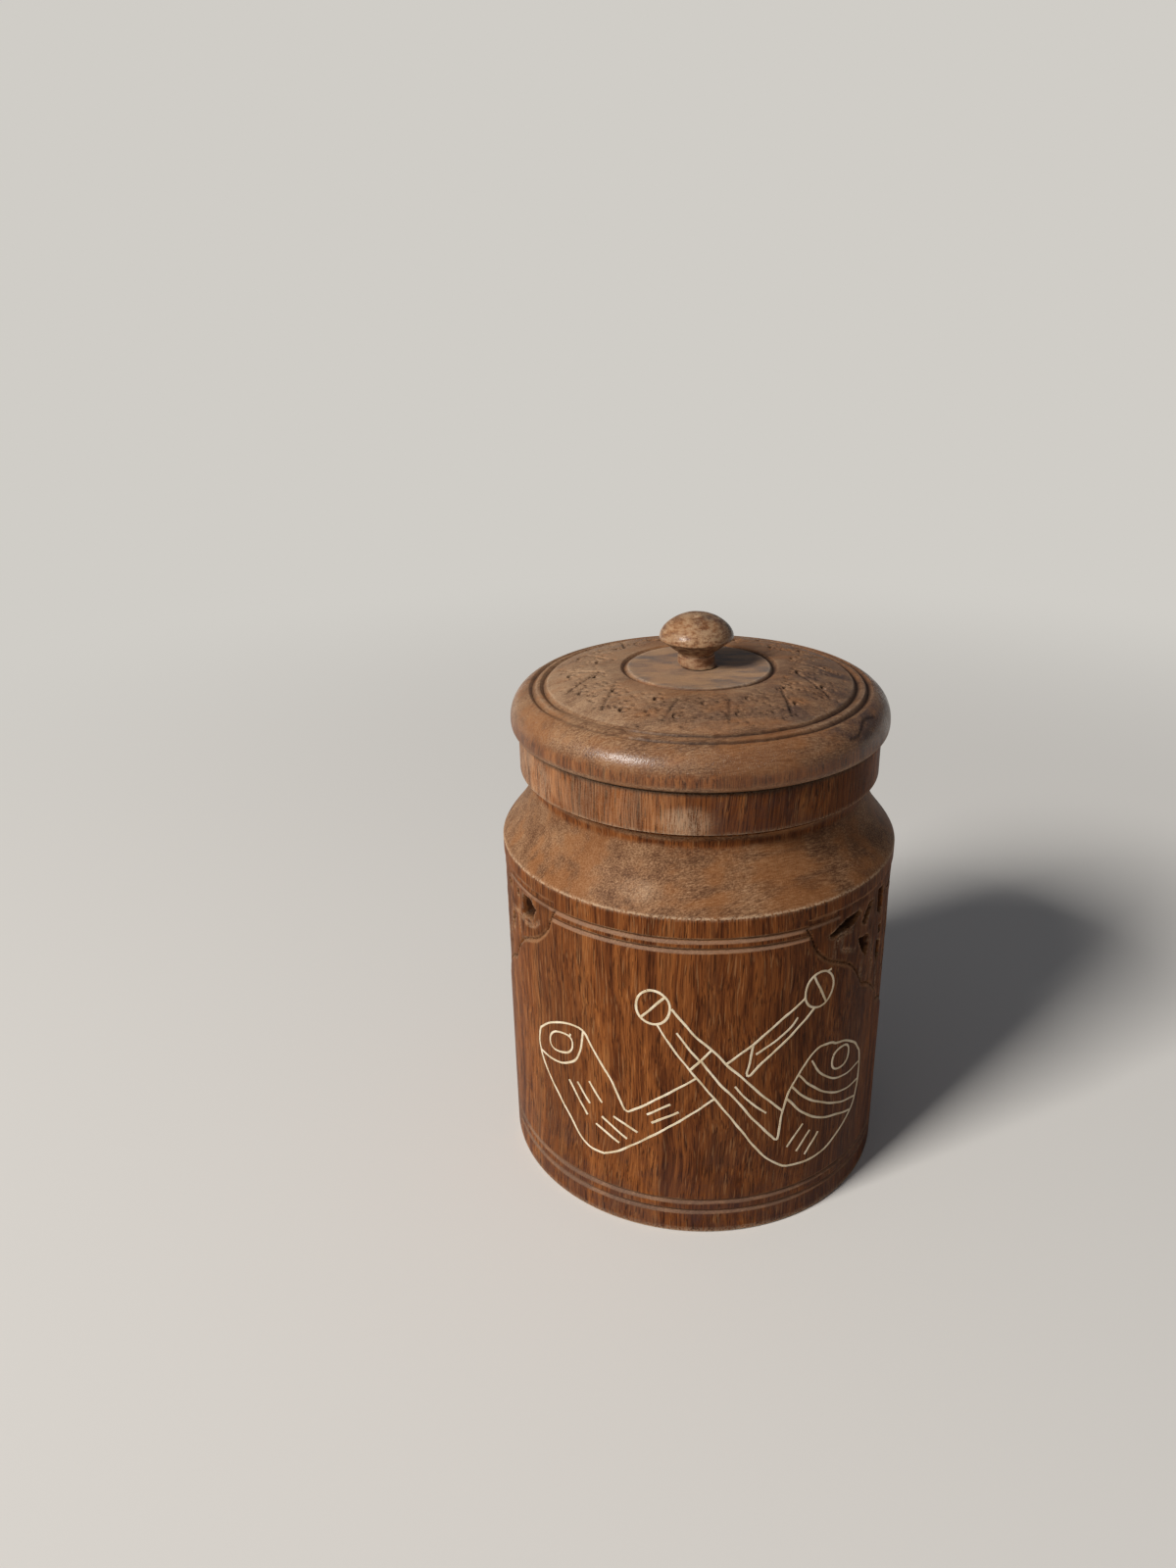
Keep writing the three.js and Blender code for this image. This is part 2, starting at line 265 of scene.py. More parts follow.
def stitched(below, above):
    """Faces between two rings of vertices whose counts are the same, double, or one."""
    n, m = len(below), len(above)
    if n > m:
        return [face[::-1] for face in stitched(above, below)]
    if n == 1:
        return [(below[0], above[(k + 1) % m], above[k]) for k in range(m)]
    faces = []
    for k in range(n):
        a, b = below[k], below[(k + 1) % n]
        if n == m:
            faces.append((a, b, above[(k + 1) % n], above[k]))
        else:
            p, q, r = above[2 * k], above[2 * k + 1], above[(2 * k + 2) % m]
            faces += [(a, q, p), (a, b, q), (b, r, q)]
    return faces


def edge_wear(r, z, edges):
    """1 on a worn edge, falling off over its width; edges are (r, z, width)."""
    return most(*(bell(np.hypot(r - there, z - up), width) for there, up, width in edges))


def blobs(angle, z, *patches):
    """The greatest of several soft round patches on a turned surface.

    Each has its weight, middle in degrees and z, and half width in degrees and z. On the
    level top of the lid or the knob, r takes the place of z."""
    degrees = np.degrees(angle)
    return most(*(
        weight * smooth(1 - np.hypot((degrees - across) / wide, (z - up) / high), 0, 0.6)
        for weight, across, up, wide, high in patches
    ))


# Carved pendant leaves, one on each side. A leaf is drawn from its middle line: d is the
# distance from it along the wall, towards the front or the back, and z the height.
LEAF_TOP = 107.4
LEAF_EDGE = [
    (58.4, 104.5), (56.5, 101.2), (55, 97.4), (52.3, 94), (49.2, 91.4), (43, 88.3), (40, 86.5),
    (37.4, 84), (34.2, 79.4), (32.2, 76.2), (29.4, 75), (25, 71.8), (20.4, 67.2), (18.4, 62.8),
    (15.6, 61.8), (10, 58.4), (4.6, 53), (0, 46.8),
]
# Each leaf has its middle's u, its pale veins, and its pockets, given as the corners of a
# chip with its depth. The half that faces the back repeats the front half.
HIDDEN_VEINS = [
    [(27.4, 89), (26, 81), (25.4, 72.8)],
    [(21, 76.5), (20, 70), (18.6, 63.6)],
    [(14.4, 82), (12.8, 70), (11.4, 60)],
    [(2.2, 100), (3, 78), (0.7, 53)],
]
HIDDEN_POCKETS = [
    ([(22.6, 86.8), (18.6, 84.4), (18.8, 79.6), (22.4, 78)], 1.9),
    ([(11, 76.8), (7.8, 75.4), (8, 69), (10.6, 68)], 1.8),
    ([(8.4, 101.2), (16, 100), (15.6, 101.8), (9, 103)], 1.5),
    ([(22.2, 91.4), (19, 90.8), (18.8, 88.4), (21.2, 87.8)], 1.3),
    ([(12.4, 91.4), (8.4, 91), (8.6, 83), (11.4, 82)], 1.8),
]
LEFT_LEAF = (
    -103.1,
    [[(50.4, 97.4), (47, 94.6), (43, 93.4), (38.4, 94), (33.6, 94.4), (29.6, 93.2)],
     [(38, 97), (36.8, 92), (38.2, 86.8)]] + HIDDEN_VEINS,
    [([(39.6, 95), (46.4, 96.2), (48.6, 100.6), (45.6, 103.4), (40.6, 103)], 2.6),
     ([(36, 100.2), (37.8, 100.4), (37.9, 103), (36.2, 102.8)], 1.6),
     ([(33.6, 92.4), (30.2, 91.8), (29, 87.6), (31.6, 85.4)], 2.2),
     ([(30.8, 100.2), (26.6, 100.4), (27, 103), (31, 102.8)], 1.6)] + HIDDEN_POCKETS,
)
RIGHT_LEAF = (
    91.7,
    [[(40, 97.7), (44, 98.2), (46.6, 97.4), (47, 95.1), (47.4, 90.6)],
     [(44.4, 96.4), (44, 93.4), (37.4, 90.2)],
     [(33, 84), (33.4, 81), (32.2, 77)]] + HIDDEN_VEINS,
    [([(36.3, 93.5), (29.8, 92.5), (29, 88), (30.7, 84.8), (33.8, 88.5)], 2.8),
     ([(50.3, 99.8), (48.4, 98.4), (39.2, 99.4), (35.6, 102.2), (36.6, 103.6), (42.6, 103.2)],
      2.4),
     ([(28, 103.4), (31.2, 103.6), (34.8, 98.2), (32.2, 96.6)], 2.0),
     ([(19.6, 104.6), (24.2, 105), (24.4, 97.4), (20.4, 94.4)], 2.0)] + HIDDEN_POCKETS,
)
LEAF_REACH = 62
LEAF_HEIGHTS = (43, 110)
STEEP_SIDE = 3.5
GENTLE_SIDE = 1.7
LEAF_CUT = 0.75
LEAF_CUT_INNER = 0.45
LEAF_CUT_OUTER = 1.0
VEIN_DEPTH = 0.4
VEIN_HALF_WIDTH = 0.6
SNAP = 0.3


def carve_leaf(u, z, middle, veins, pockets):
    """Cuts one leaf into the wall.

    Gives which places are near it and, for those alone, their depth, wear, and dirt with painted
    shade, where they move to so that the mesh follows the outlines, and which of them move."""
    d = (u - middle + TURN / 2) % TURN - TURN / 2
    near = (np.abs(d) < LEAF_REACH) & (z > LEAF_HEIGHTS[0]) & (z < LEAF_HEIGHTS[1])
    d, z = d[near], z[near]
    places = np.stack([np.abs(d), z], 1)
    edge = spline(LEAF_EDGE, 1.0)
    far, spot, _ = nearest(places, edge)
    (wide, _), (_, tip) = LEAF_EDGE[0], LEAF_EDGE[-1]
    within = inside(places, np.vstack([edge, [(-1, tip), (-1, LEAF_TOP), (wide, LEAF_TOP)]]))
    depth = LEAF_CUT * np.clip(1 - far / np.where(within, LEAF_CUT_INNER, LEAF_CUT_OUTER), 0, 1)
    # A dark line along the leaf's outline: painted shade in the cut
    dirt = np.clip(1 - far / 0.5, 0, 1)
    wear = np.zeros_like(d)
    close = far < SNAP
    snapped = np.where(close[:, None], spot, places)
    for points in veins:
        far, _, along = nearest(places, spline(points, 1.0))
        taper = 0.35 + 0.65 * np.sin(np.pi * np.clip(along * 0.9 + 0.1, 0, 1))
        vein = VEIN_DEPTH * taper * np.clip(1 - far / VEIN_HALF_WIDTH, 0, 1)
        depth = most(depth, vein * within)
        wear = most(wear, 0.8 * taper * bell(far - 0.45, 0.35))
    for corners, deep in pockets:
        cut, far, spot = chip(places, np.array(corners, float), deep)
        depth = most(depth, cut)
        # Darker deeper in each pocket: dirt and painted shade
        dirt = most(dirt, smooth(cut, 0.05 * deep, 0.55 * deep))
        wear = most(wear, 0.6 * (cut <= 0) * bell(far, 0.5))
        beside = (far < SNAP) & ~close
        snapped[beside] = spot[beside]
        close |= beside
    swell = 0.35 * smooth(z, 60, 100) * ripple(d * 1.4, z * 0.8, 5, 3)
    uneven = ripple(d, z, 2.2, 9) + 0.6 * ripple(d, z * 0.5, 0.9, 12)
    depth += within * (0.12 + 0.16 * (1 + swell))
    depth += within * 0.06 * (1.6 + uneven)
    dirt = most(dirt, within * np.clip(0.16 + 0.22 * uneven, 0, 1))
    moved = np.stack([middle + np.where(d < 0, -1, 1) * snapped[:, 0], snapped[:, 1]], 1)
    return near, depth, wear * within, dirt, moved, close


def chip(places, corners, deep):
    """A hollow cut with a steep side towards the top and front and gentle sides elsewhere.

    Gives its depth at each place, and how far and where the nearest point of its outline is."""
    loop = np.vstack([corners, corners[:1]])
    far, spot, _ = nearest(places, loop)
    middle = corners.mean(axis=0)
    cut = np.full(len(places), np.inf)
    for start, end in zip(loop, loop[1:]):
        way = (end - start) / np.linalg.norm(end - start)
        inward = np.array([-way[1], way[0]])
        inward *= np.sign((middle - start) @ inward)
        slope = STEEP_SIDE if inward @ (-0.4, -0.9) > 0.2 else GENTLE_SIDE
        cut = np.minimum(cut, slope * ((places - start) @ inward))
    return np.where(inside(places, corners), np.clip(cut, 0, deep), 0), far, spot


def groove(z, middle, wobble):
    """Depth of a V groove, its upper face darkened with painted shade and dirt, and its lower
    face paled with dust and painted light.
    """
    off = z - middle - wobble
    depth = GROOVE_DEPTH * np.clip(1 - np.abs(off) / (GROOVE_WIDTH / 2), 0, 1)
    upper = bell(off - 0.42, 0.32)
    lower = smooth(GROOVE_WIDTH / 2 + off, -0.15, 0.2) * smooth(-off, -0.1, 0.2)
    return depth, upper, lower


def spaced(stretches):
    """An even number of angles round the jar, from (start u, end u, step) stretches."""
    out = []
    for start, end, step in stretches:
        count = 2 * math.ceil((end - start) / step / 2)
        out += list(np.linspace(start, end, count, endpoint=False) / BODY_R)
    return np.array(out)


def jar_outline():
    line = Outline([(0, 0, False)])
    line.to(BODY_R - CHAMFER - 0.2, 0, 16)
    line.curve([(BODY_R - 0.1, 0), (BODY_R, CHAMFER + 0.2)], 4)
    for height, step, fine in (
        (6.8, 1.5, False), (13.6, 0.36, False), (43, 2.5, False),
        (100.4, 0.6, True), (106.4, 0.32, True), (WALL_TOP - 0.35, 0.7, True),
    ):
        line.to(BODY_R, height, step, fine)
    edge = (BODY_R - 0.17, WALL_TOP + 0.3)
    line.curve([(BODY_R, WALL_TOP - 0.02), edge], 3, True)
    line.curve([
        (BODY_R - SHOULDER_LEAN, WALL_TOP + SHOULDER_FULLNESS),
        (WAIST_R + NECK_FLARE, NECK_WAIST_Z - NECK_SWEEP),
        (WAIST_R, NECK_WAIST_Z),
    ], 28)
    fillet_bottom = COLLAR_BOTTOM - FILLET_HEIGHT
    line.curve([(WAIST_R, fillet_bottom), (FILLET_R, fillet_bottom)], 6)
    line.to(FILLET_R, COLLAR_BOTTOM, 0.5)
    line.to(COLLAR_R - 0.3, COLLAR_BOTTOM, 0.5)
    line.curve([(COLLAR_R, COLLAR_BOTTOM), (COLLAR_R, COLLAR_BOTTOM + 0.3)], 2)
    line.to(COLLAR_R, MOUTH_Z - CHAMFER, 1)
    line.curve([(COLLAR_R, MOUTH_Z), (COLLAR_R - CHAMFER, MOUTH_Z)], 4)
    line.to(BORE_R + CHAMFER, MOUTH_Z, 2)
    line.curve([(BORE_R, MOUTH_Z), (BORE_R, MOUTH_Z - CHAMFER)], 4)
    line.to(BORE_R, FLOOR_TOP + FLOOR_ROUNDING, 12)
    line.curve([(BORE_R, FLOOR_TOP), (BORE_R - FLOOR_ROUNDING, FLOOR_TOP)], 4)
    line.to(0, FLOOR_TOP, 12)
    return line


# Stretches of the wall, and soft patches on the jar, as spaced() and blobs() take them
JAR_COLUMNS = [(-163, -44, 0.57), (-44, 33, 1.5), (33, 152, 0.57), (152, TURN - 163, 1.4)]
COLLAR_RUBS = [(1, -3.2, 138.2, 10.5, 6.2), (0.8, -64, 139, 24, 14), (0.35, -35, 139, 40, 30)]
COLLAR_STAINS = [(0.75, 6.2, 139, 2.4, 20), (0.45, 22, 139, 26, 26)]
COLLAR_DIRT = (0.17, 24, 139, 50, 30)
# A pale painted sheen on the shoulder's front left, where the light glints
SHOULDER_PAINTED_SHEEN = (0.6, -16, 117.5, 7, 3.5)
# Worn edges, each with its radius, height and width
JAR_EDGES = [
    (BODY_R, WALL_TOP + 0.2, 0.45), (COLLAR_R, MOUTH_Z - 0.2, 0.5),
    (COLLAR_R, COLLAR_BOTTOM, 0.28), (BODY_R, 0.5, 0.7), (BORE_R, MOUTH_Z, 0.7),
]


def on_spans(u, spans):
    """1 inside the spans of the wall and 0 outside, with soft ends."""
    share = np.zeros_like(u)
    for start, end in spans:
        into = (u - start) % TURN
        share = most(share, smooth(into, 0, 1.5) * smooth(end - start - into, 0, 1.5))
    return share


def deform_jar(angle, r, z):
    """Cuts the wall's grooves and leaves, and marks what is worn, rubbed, stained and dirty, and
    where shade and a sheen are painted.
    """
    u = angle * BODY_R
    wall = (r > BODY_R - 0.01) & (z < WALL_TOP)
    depth, upper_face_shade, dust, wear, dirt = (np.zeros_like(u) for _ in range(5))
    wobble = 0.07 * np.sin(3 * angle + 1) + 0.04 * np.sin(11 * angle)
    shares = [(middle, 1) for middle in FOOT_GROOVES]
    shares += [(middle, on_spans(u, spans)) for middle, spans in TOP_GROOVES]
    for middle, share in shares:
        cut, dark, pale = groove(z, middle, wobble)
        depth = most(depth, cut * share)
        # The groove's upper face, which faces down, darkened as painted shade with some dirt
        upper_face_shade = most(upper_face_shade, dark * share * wall)
        # The groove's lower face, which faces up, paled with dust and a painted highlight
        dust = most(dust, pale * share * wall)
    moved_u, moved_z = u.copy(), z.copy()
    for leaf in (LEFT_LEAF, RIGHT_LEAF):
        near, cut, worn, dark, moved, close = carve_leaf(u, z, *leaf)
        depth[near] = most(depth[near], cut)
        wear[near] = most(wear[near], 0.8 * worn * wall[near])
        dirt[near] = most(dirt[near], dark * wall[near])
        close &= wall[near]
        snapped = np.flatnonzero(near)[close]
        moved_u[snapped], moved_z[snapped] = moved[close].T
    uneven = 0.03 * ripple(u, z, 9, 5) + 0.015 * ripple(u, z, 2.5, 6)
    r = r - np.where(wall, depth + 0.02 + uneven * (z > 2), 0)

    collar = r > COLLAR_R - 0.5
    band = collar & (z > COLLAR_BOTTOM)
    bore = (r < BORE_R + 0.5) * (z > 5)
    # Darker towards the bottom of the wall, and below the upper foot groove
    foot = 0.42 * smooth(50 - z, 0, 44) + 0.16 * smooth(FOOT_GROOVES[1] + 1 - z, 0, 1)
    stain = most(
        # Stains on the collar, and darker deeper down the bore
        band * blobs(angle, z, *COLLAR_STAINS), 0.5 * smooth(MOUTH_Z - z, 1, 60) * bore,
        wall * foot,
    )
    neck = (z < COLLAR_BOTTOM) * (r > WAIST_R - 0.1)
    dirt = most(
        dirt, 0.75 * upper_face_shade,
        # Painted shade in the corner under the collar
        0.8 * bell(np.hypot(r - FILLET_R, z - COLLAR_BOTTOM), 0.9),
        # Darker up the neck towards the collar
        0.15 * smooth(z, WALL_TOP + 5, WALL_TOP + 16) * neck,
        band * blobs(angle, z, COLLAR_DIRT),
        # Painted shade on the collar's top, under the lid's overhanging rim
        0.85 * smooth(z, MOUTH_Z - 1.6, MOUTH_Z - 0.4) * collar,
    )
    marks = {
        "wear": most(wear, edge_wear(r, z, JAR_EDGES)),
        # Rubbed patches on the collar, and a painted sheen on the shoulder
        "rub": most(band * blobs(angle, z, *COLLAR_RUBS), ~wall * blobs(angle, z, SHOULDER_PAINTED_SHEEN)),
        "dirt": np.clip(dirt, 0, 1), "stain": stain, "dust": dust,
    }
    return moved_u / BODY_R, r, moved_z, marks


def lid_outline():
    outer, inner = LID_GROOVES
    line = Outline([(0, SPIGOT_BOTTOM, False)])
    line.to(SPIGOT_R - CHAMFER, SPIGOT_BOTTOM, 10)
    line.curve([(SPIGOT_R, SPIGOT_BOTTOM), (SPIGOT_R, SPIGOT_BOTTOM + CHAMFER)], 3)
    line.to(SPIGOT_R, LID_BOTTOM, 2)
    line.to(LID_FOOT_R, LID_BOTTOM, 3)
    line.curve([(LID_R, LID_BOTTOM), (LID_R, LID_WIDEST)], 9, True)
    edge = (outer + GROOVE_WIDTH, LID_GROOVE_Z - GROOVE_DEPTH / 2)
    below_edge = (edge[0] + LID_EDGE_RUN, edge[1] - LID_EDGE_FALL)
    line.curve([(LID_R, LID_WIDEST + LID_SIDE_RISE), below_edge, edge], 20, True)
    line.to(outer + GROOVE_WIDTH / 2, LID_GROOVE_Z, 0.3, True)
    top = LID_GROOVE_Z + LID_GROOVE_RISE
    line.to(inner - GROOVE_WIDTH / 2, top, 0.3, True)
    dome_edge = LID_RING_R + GROOVE_WIDTH
    line.curve([((inner + LID_RING_R) / 2, LID_TOP), (dome_edge, LID_TOP)], 72, True)
    line.to(LID_RING_R - GROOVE_WIDTH, LID_TOP, 0.3)
    line.to(TENON_R + GLUE_GAP, LID_TOP, 1.2)
    line.to(TENON_R + GLUE_GAP, LID_TOP - HOLE_DEPTH, 5)
    line.to(0, LID_TOP - HOLE_DEPTH, 5)
    return line


# Punched ornament on the lid: a zigzag of dots, in which every other leg is close and deep.
# A leg leans by some degrees from its outer corner to its inner one, at the back by half the
# zigzag's pitch. Round eyes stand beside the legs, and small pits all over.
ZIGZAG_COUNT = 14
ZIGZAG_START = -65.0
ZIGZAG_INNER = 30.2
ZIGZAG_OUTER = 41.8
FRONT_LEANS = (-15, -15, 3, 5, 13, 15)
CLOSE_SPACING = 0.95
WIDE_SPACING = 2.1
DOT_R = 0.52
DOT_DEPTH = 0.95
EYE_R = 1.3
EYE_HALF_WIDTH = 0.55
EYE_DEPTH = 1.1
OUTER_EYES = (39.0, 7)
INNER_EYES = (31.2, -8.5)
PIT_COUNT = 300


def polar(radius, degrees):
    turn = math.radians(degrees)
    return np.array([radius * math.sin(turn), -radius * math.cos(turn)])


def punch(depth, places, middle, radius, deep):
    """Sinks a round dot into the depth of the places near it."""
    far = np.hypot(*(places - middle).T)
    near = far < 2.5 * radius
    depth[near] = most(depth[near], deep * bell(far[near], radius))


def punched_zigzag(places):
    """Depth of the punched ornament at each place on the lid's top, seen from above."""
    depth = np.zeros(len(places))
    random = np.random.default_rng(14)
    draw = random.uniform
    pitch = 360 / ZIGZAG_COUNT
    for index in range(ZIGZAG_COUNT):
        middle = ZIGZAG_START + index * pitch
        outer = polar(ZIGZAG_OUTER + draw(-0.6, 0.6), middle + draw(-1, 1))
        lean = FRONT_LEANS[index] if index < len(FRONT_LEANS) else pitch / 2
        other = -pitch / 2 if lean > 0 else pitch / 2
        for turn, spacing, deep, stray in (
            (lean, CLOSE_SPACING, 0.9, 0.14), (other, WIDE_SPACING, 0.5, 0.5),
        ):
            inner = polar(ZIGZAG_INNER + draw(-0.8, 0.8), middle + turn)
            count = round(np.linalg.norm(outer - inner) / spacing)
            for share in np.linspace(0, 1, count + 1):
                spot = inner + share * (outer - inner) + draw(-stray, stray, 2)
                punch(depth, places, spot, DOT_R, DOT_DEPTH * deep * draw(0.5, 1.1))
        for radius, turn in (OUTER_EYES, INNER_EYES):
            radius += draw(-0.7, 0.7)
            spot = polar(radius, middle + turn + draw(-1.5, 1.5))
            strike_eye(depth, places, spot, draw(0.8, 1.15))
            punch(depth, places, spot + draw(-3.2, 3.2, 2), 0.55, 0.6)
    for _ in range(PIT_COUNT):
        radius = random.triangular(LID_RING_R + 2, 37, LID_GROOVES[1] - 1)
        spot = polar(radius, draw(-180, 180))
        punch(depth, places, spot, draw(0.4, 0.62), draw(0.25, 0.75))
    return depth


def strike_eye(depth, places, middle, size):
    """A round punch mark with a raised middle, struck deeper on its left side."""
    offset = places - middle
    far = np.hypot(*offset.T)
    near = far < EYE_R + 2
    aim = -offset[near, 0] / np.maximum(far[near], 0.01)
    deep = EYE_DEPTH * size * (0.55 + 0.45 * aim)
    ring = np.clip(1 - np.abs(far[near] - EYE_R * size) / EYE_HALF_WIDTH, 0, 1)
    depth[near] = most(depth[near], deep * ring)


# Soft patches on the lid
TOP_RUB = (1, 6, 36, 34, 18)
TOP_STAIN = (0.45, 20, 37, 50, 12)
TOP_SMEAR = (1, 68, 39, 56, 20)
RIM_STAINS = [(1, 62, 158.3, 17, 4.4), (0.8, 47, 154.5, 7, 3.2), (0.3, 4, 156.5, 44, 5)]
RIM_SMEAR = (1, 58, 158, 26, 7)


def rim_crack(degrees, z):
    """A wandering crack along the right of the lid's rim."""
    off = np.abs(z - 157.2 - 0.1 * (degrees - 58) + 0.7 * np.sin(degrees * 0.4))
    return np.clip(1 - off / 0.55, 0, 1) * (np.abs(degrees - 57) < 9)


def lid_grooves(angle, r):
    """Depth, dirt with painted shade heavier on the right, and worn ridges of the lid's grooves
    and ring.

    The grooves are faded on the left and narrow and wandering at the front."""
    degrees = np.degrees(angle)
    faded = 1 - 0.8 * smooth(1 - np.abs(degrees + 38) / 24, 0, 0.6)
    front = smooth(1 - np.abs(degrees + 2) / 42, 0, 0.4)
    wander = 0.1 * np.sin(5 * angle) + 0.12 * ripple(angle * 40, r * 0, 1.2, 8) * front
    # Groove dirt, wider and heavier on the right, away from the light: partly painted shade
    grimy = 0.55 + 0.4 * front + 0.5 * smooth(np.sin(angle), 0.3, 0.9)
    left = 0.5 + 0.5 * smooth(np.sin(angle), -0.6, 0)
    depth, dirt, ridges = (np.zeros_like(angle) for _ in range(3))
    for middle, share in ((LID_GROOVES[0], faded), (LID_GROOVES[1], faded), (LID_RING_R, 1)):
        off = np.abs(r - middle - wander * (middle > 40))
        depth = most(depth, 0.95 * np.clip(1 - off / (1.15 - 0.6 * front), 0, 1) * share)
        dirt = most(dirt, np.clip(1.1 - off / grimy, 0, 0.95) * left * share)
    for middle in LID_GROOVES:
        ridges = most(ridges, 0.5 * bell(r - middle + 1.3, 0.4) * faded * (1 - front))
    return depth, dirt, ridges


def deform_lid(angle, r, z):
    """Cuts and punches the lid's top, and marks what is worn, rubbed, stained and dirty, and
    where shade and light are painted.
    """
    x, y = r * np.sin(angle), -r * np.cos(angle)
    outer, inner = LID_GROOVES
    top = (z > LID_GROOVE_Z - GROOVE_DEPTH) & (r > LID_RING_R - 2)
    band = top & (r > LID_RING_R + 1.2) & (r < inner - 1)
    rim = r > outer + GROOVE_WIDTH - 0.1
    punched = np.zeros_like(angle)
    punched[band] = punched_zigzag(np.stack([x, y], 1)[band])
    rubbed = blobs(angle, r, TOP_RUB)
    rough = ripple(x, y, 0.9, 21) + 0.6 * ripple(x + 7, y, 2.3, 22)
    cut, grime, ridges = lid_grooves(angle, r)
    crack = rim_crack(np.degrees(angle), z) * rim
    depth = punched * (1 - 0.4 * rubbed) + band * (0.015 + 0.09 * rubbed) * (1 + rough)
    depth = most(depth, cut * top) + 0.25 * crack

    dirt = most(
        grime * top, crack, 0.74 * smooth(punched, 0.08, 0.5) * (1 - 0.3 * rubbed),
        # Painted shade on the lid's underside, above the gap to the collar
        0.85 * smooth(LID_BOTTOM + 0.7 - z, 0, 0.5) * (r > SPIGOT_R + 1),
        # Darker down the rim's side
        0.2 * (r > outer) * smooth(LID_GROOVE_Z - z, 1, 8),
    )
    smear = smooth(ripple(x + 90, y, 6.5, 23), -0.35, 0.2)
    smeared = band * blobs(angle, r, TOP_SMEAR) + rim * blobs(angle, z, RIM_SMEAR)
    stain = most(
        rim * blobs(angle, z, *RIM_STAINS), band * blobs(angle, r, TOP_STAIN),
        # Darker towards the lid's right, away from the light (painted shade), and the smears
        0.34 * smooth(x, 5, 52) * (z > LID_WIDEST), smear * smeared,
    )
    marks = {
        "wear": most(edge_wear(r, z, [(LID_RING_R - 1.3, LID_TOP, 0.4)]), ridges * top),
        # Rubbed all round the band, and paler towards the left, where the light falls: painted
        # light
        "rub": band * (0.22 + 0.4 * smooth(-x, 0, 30)),
        "dirt": np.clip(dirt, 0, 1), "stain": stain,
        "disc": smooth(LID_RING_R - r, 0.4, 1.2) * (z > LID_TOP - 0.5),
        "polish": (r > outer) * smooth(z, LID_BOTTOM + 1, LID_BOTTOM + 5),
    }
    side = rim & (z < LID_GROOVE_Z)
    return angle, r - np.where(side, depth, 0), z - np.where(side, 0, depth), marks


def knob_outline():
    waist = KNOB_NECK_R - KNOB_NECK_STEP
    edge_bottom = KNOB_WIDEST - KNOB_ROUNDING
    line = Outline([(0, TENON_BOTTOM, False)])
    line.to(TENON_R, TENON_BOTTOM, 2)
    line.to(TENON_R, LID_TOP + GLUE_GAP, 3)
    line.to(KNOB_NECK_R, LID_TOP + GLUE_GAP, 0.6)
    line.to(KNOB_NECK_R, KNOB_NECK_TOP - 0.15, 0.4)
    line.curve([(KNOB_NECK_R, KNOB_NECK_TOP), (waist, KNOB_NECK_TOP)], 3)
    line.curve([(waist, (KNOB_NECK_TOP + KNOB_FLARE[1]) / 2), KNOB_FLARE], 8)
    line.to(KNOB_R - KNOB_ROUNDING, edge_bottom, 0.5)
    line.curve([(KNOB_R, edge_bottom), (KNOB_R, KNOB_WIDEST)], 5)
    side = (KNOB_R, KNOB_WIDEST + KNOB_SIDE_RISE)
    line.curve([side, (KNOB_CROWN_WIDTH, CROWN), (0, CROWN)], 40)
    return line


# Dents in the knob's cap, each with its place, radius and depth
KNOB_DENTS = [(polar(3.4, -10), 1, 0.35), (polar(4.6, 62), 1.6, 0.3), (polar(7.4, 40), 1.2, 0.2)]
CAP_STAINS = [(0.9, 40, 6, 70, 6), (0.6, 110, 9, 60, 5)]


def deform_knob(angle, r, z):
    """Worn and dented, with painted shade under its cap and painted light on its neck, and glued
    a little off the middle of the lid.
    """
    x, y = r * np.sin(angle), -r * np.cos(angle)
    places = np.stack([x, y], 1)
    cap = z > KNOB_WIDEST - KNOB_ROUNDING
    depth = np.zeros_like(angle)
    for spot, size, deep in KNOB_DENTS:
        punch(depth, places, spot, size, deep)
    depth = (depth + 0.04 * (1 + ripple(x + 40, y + z, 2.4, 31))) * cap
    # Darker under the cap: painted shade with some dirt
    shade_and_dirt_under_cap = smooth(z, KNOB_NECK_TOP + 0.2, KNOB_FLARE[1]) * ~cap
    marks = {
        "wear": bell(np.hypot(*(places - polar(2.8, -4)).T), 0.8) * cap,
        "dirt": most(0.7 * shade_and_dirt_under_cap, 0.9 * (z < LID_TOP + 0.6)),
        "stain": cap * blobs(angle, r, *CAP_STAINS),
        # The neck paled: dust and painted light
        "dust": 0.5 * ~cap * (z > LID_TOP),
        "polish": cap * 1.0,
    }
    x = x + KNOB_ASIDE * smooth(z, LID_TOP + GLUE_GAP - 0.01, LID_TOP + 1.5)
    return np.arctan2(x, -y), np.hypot(x, y), z - depth, marks


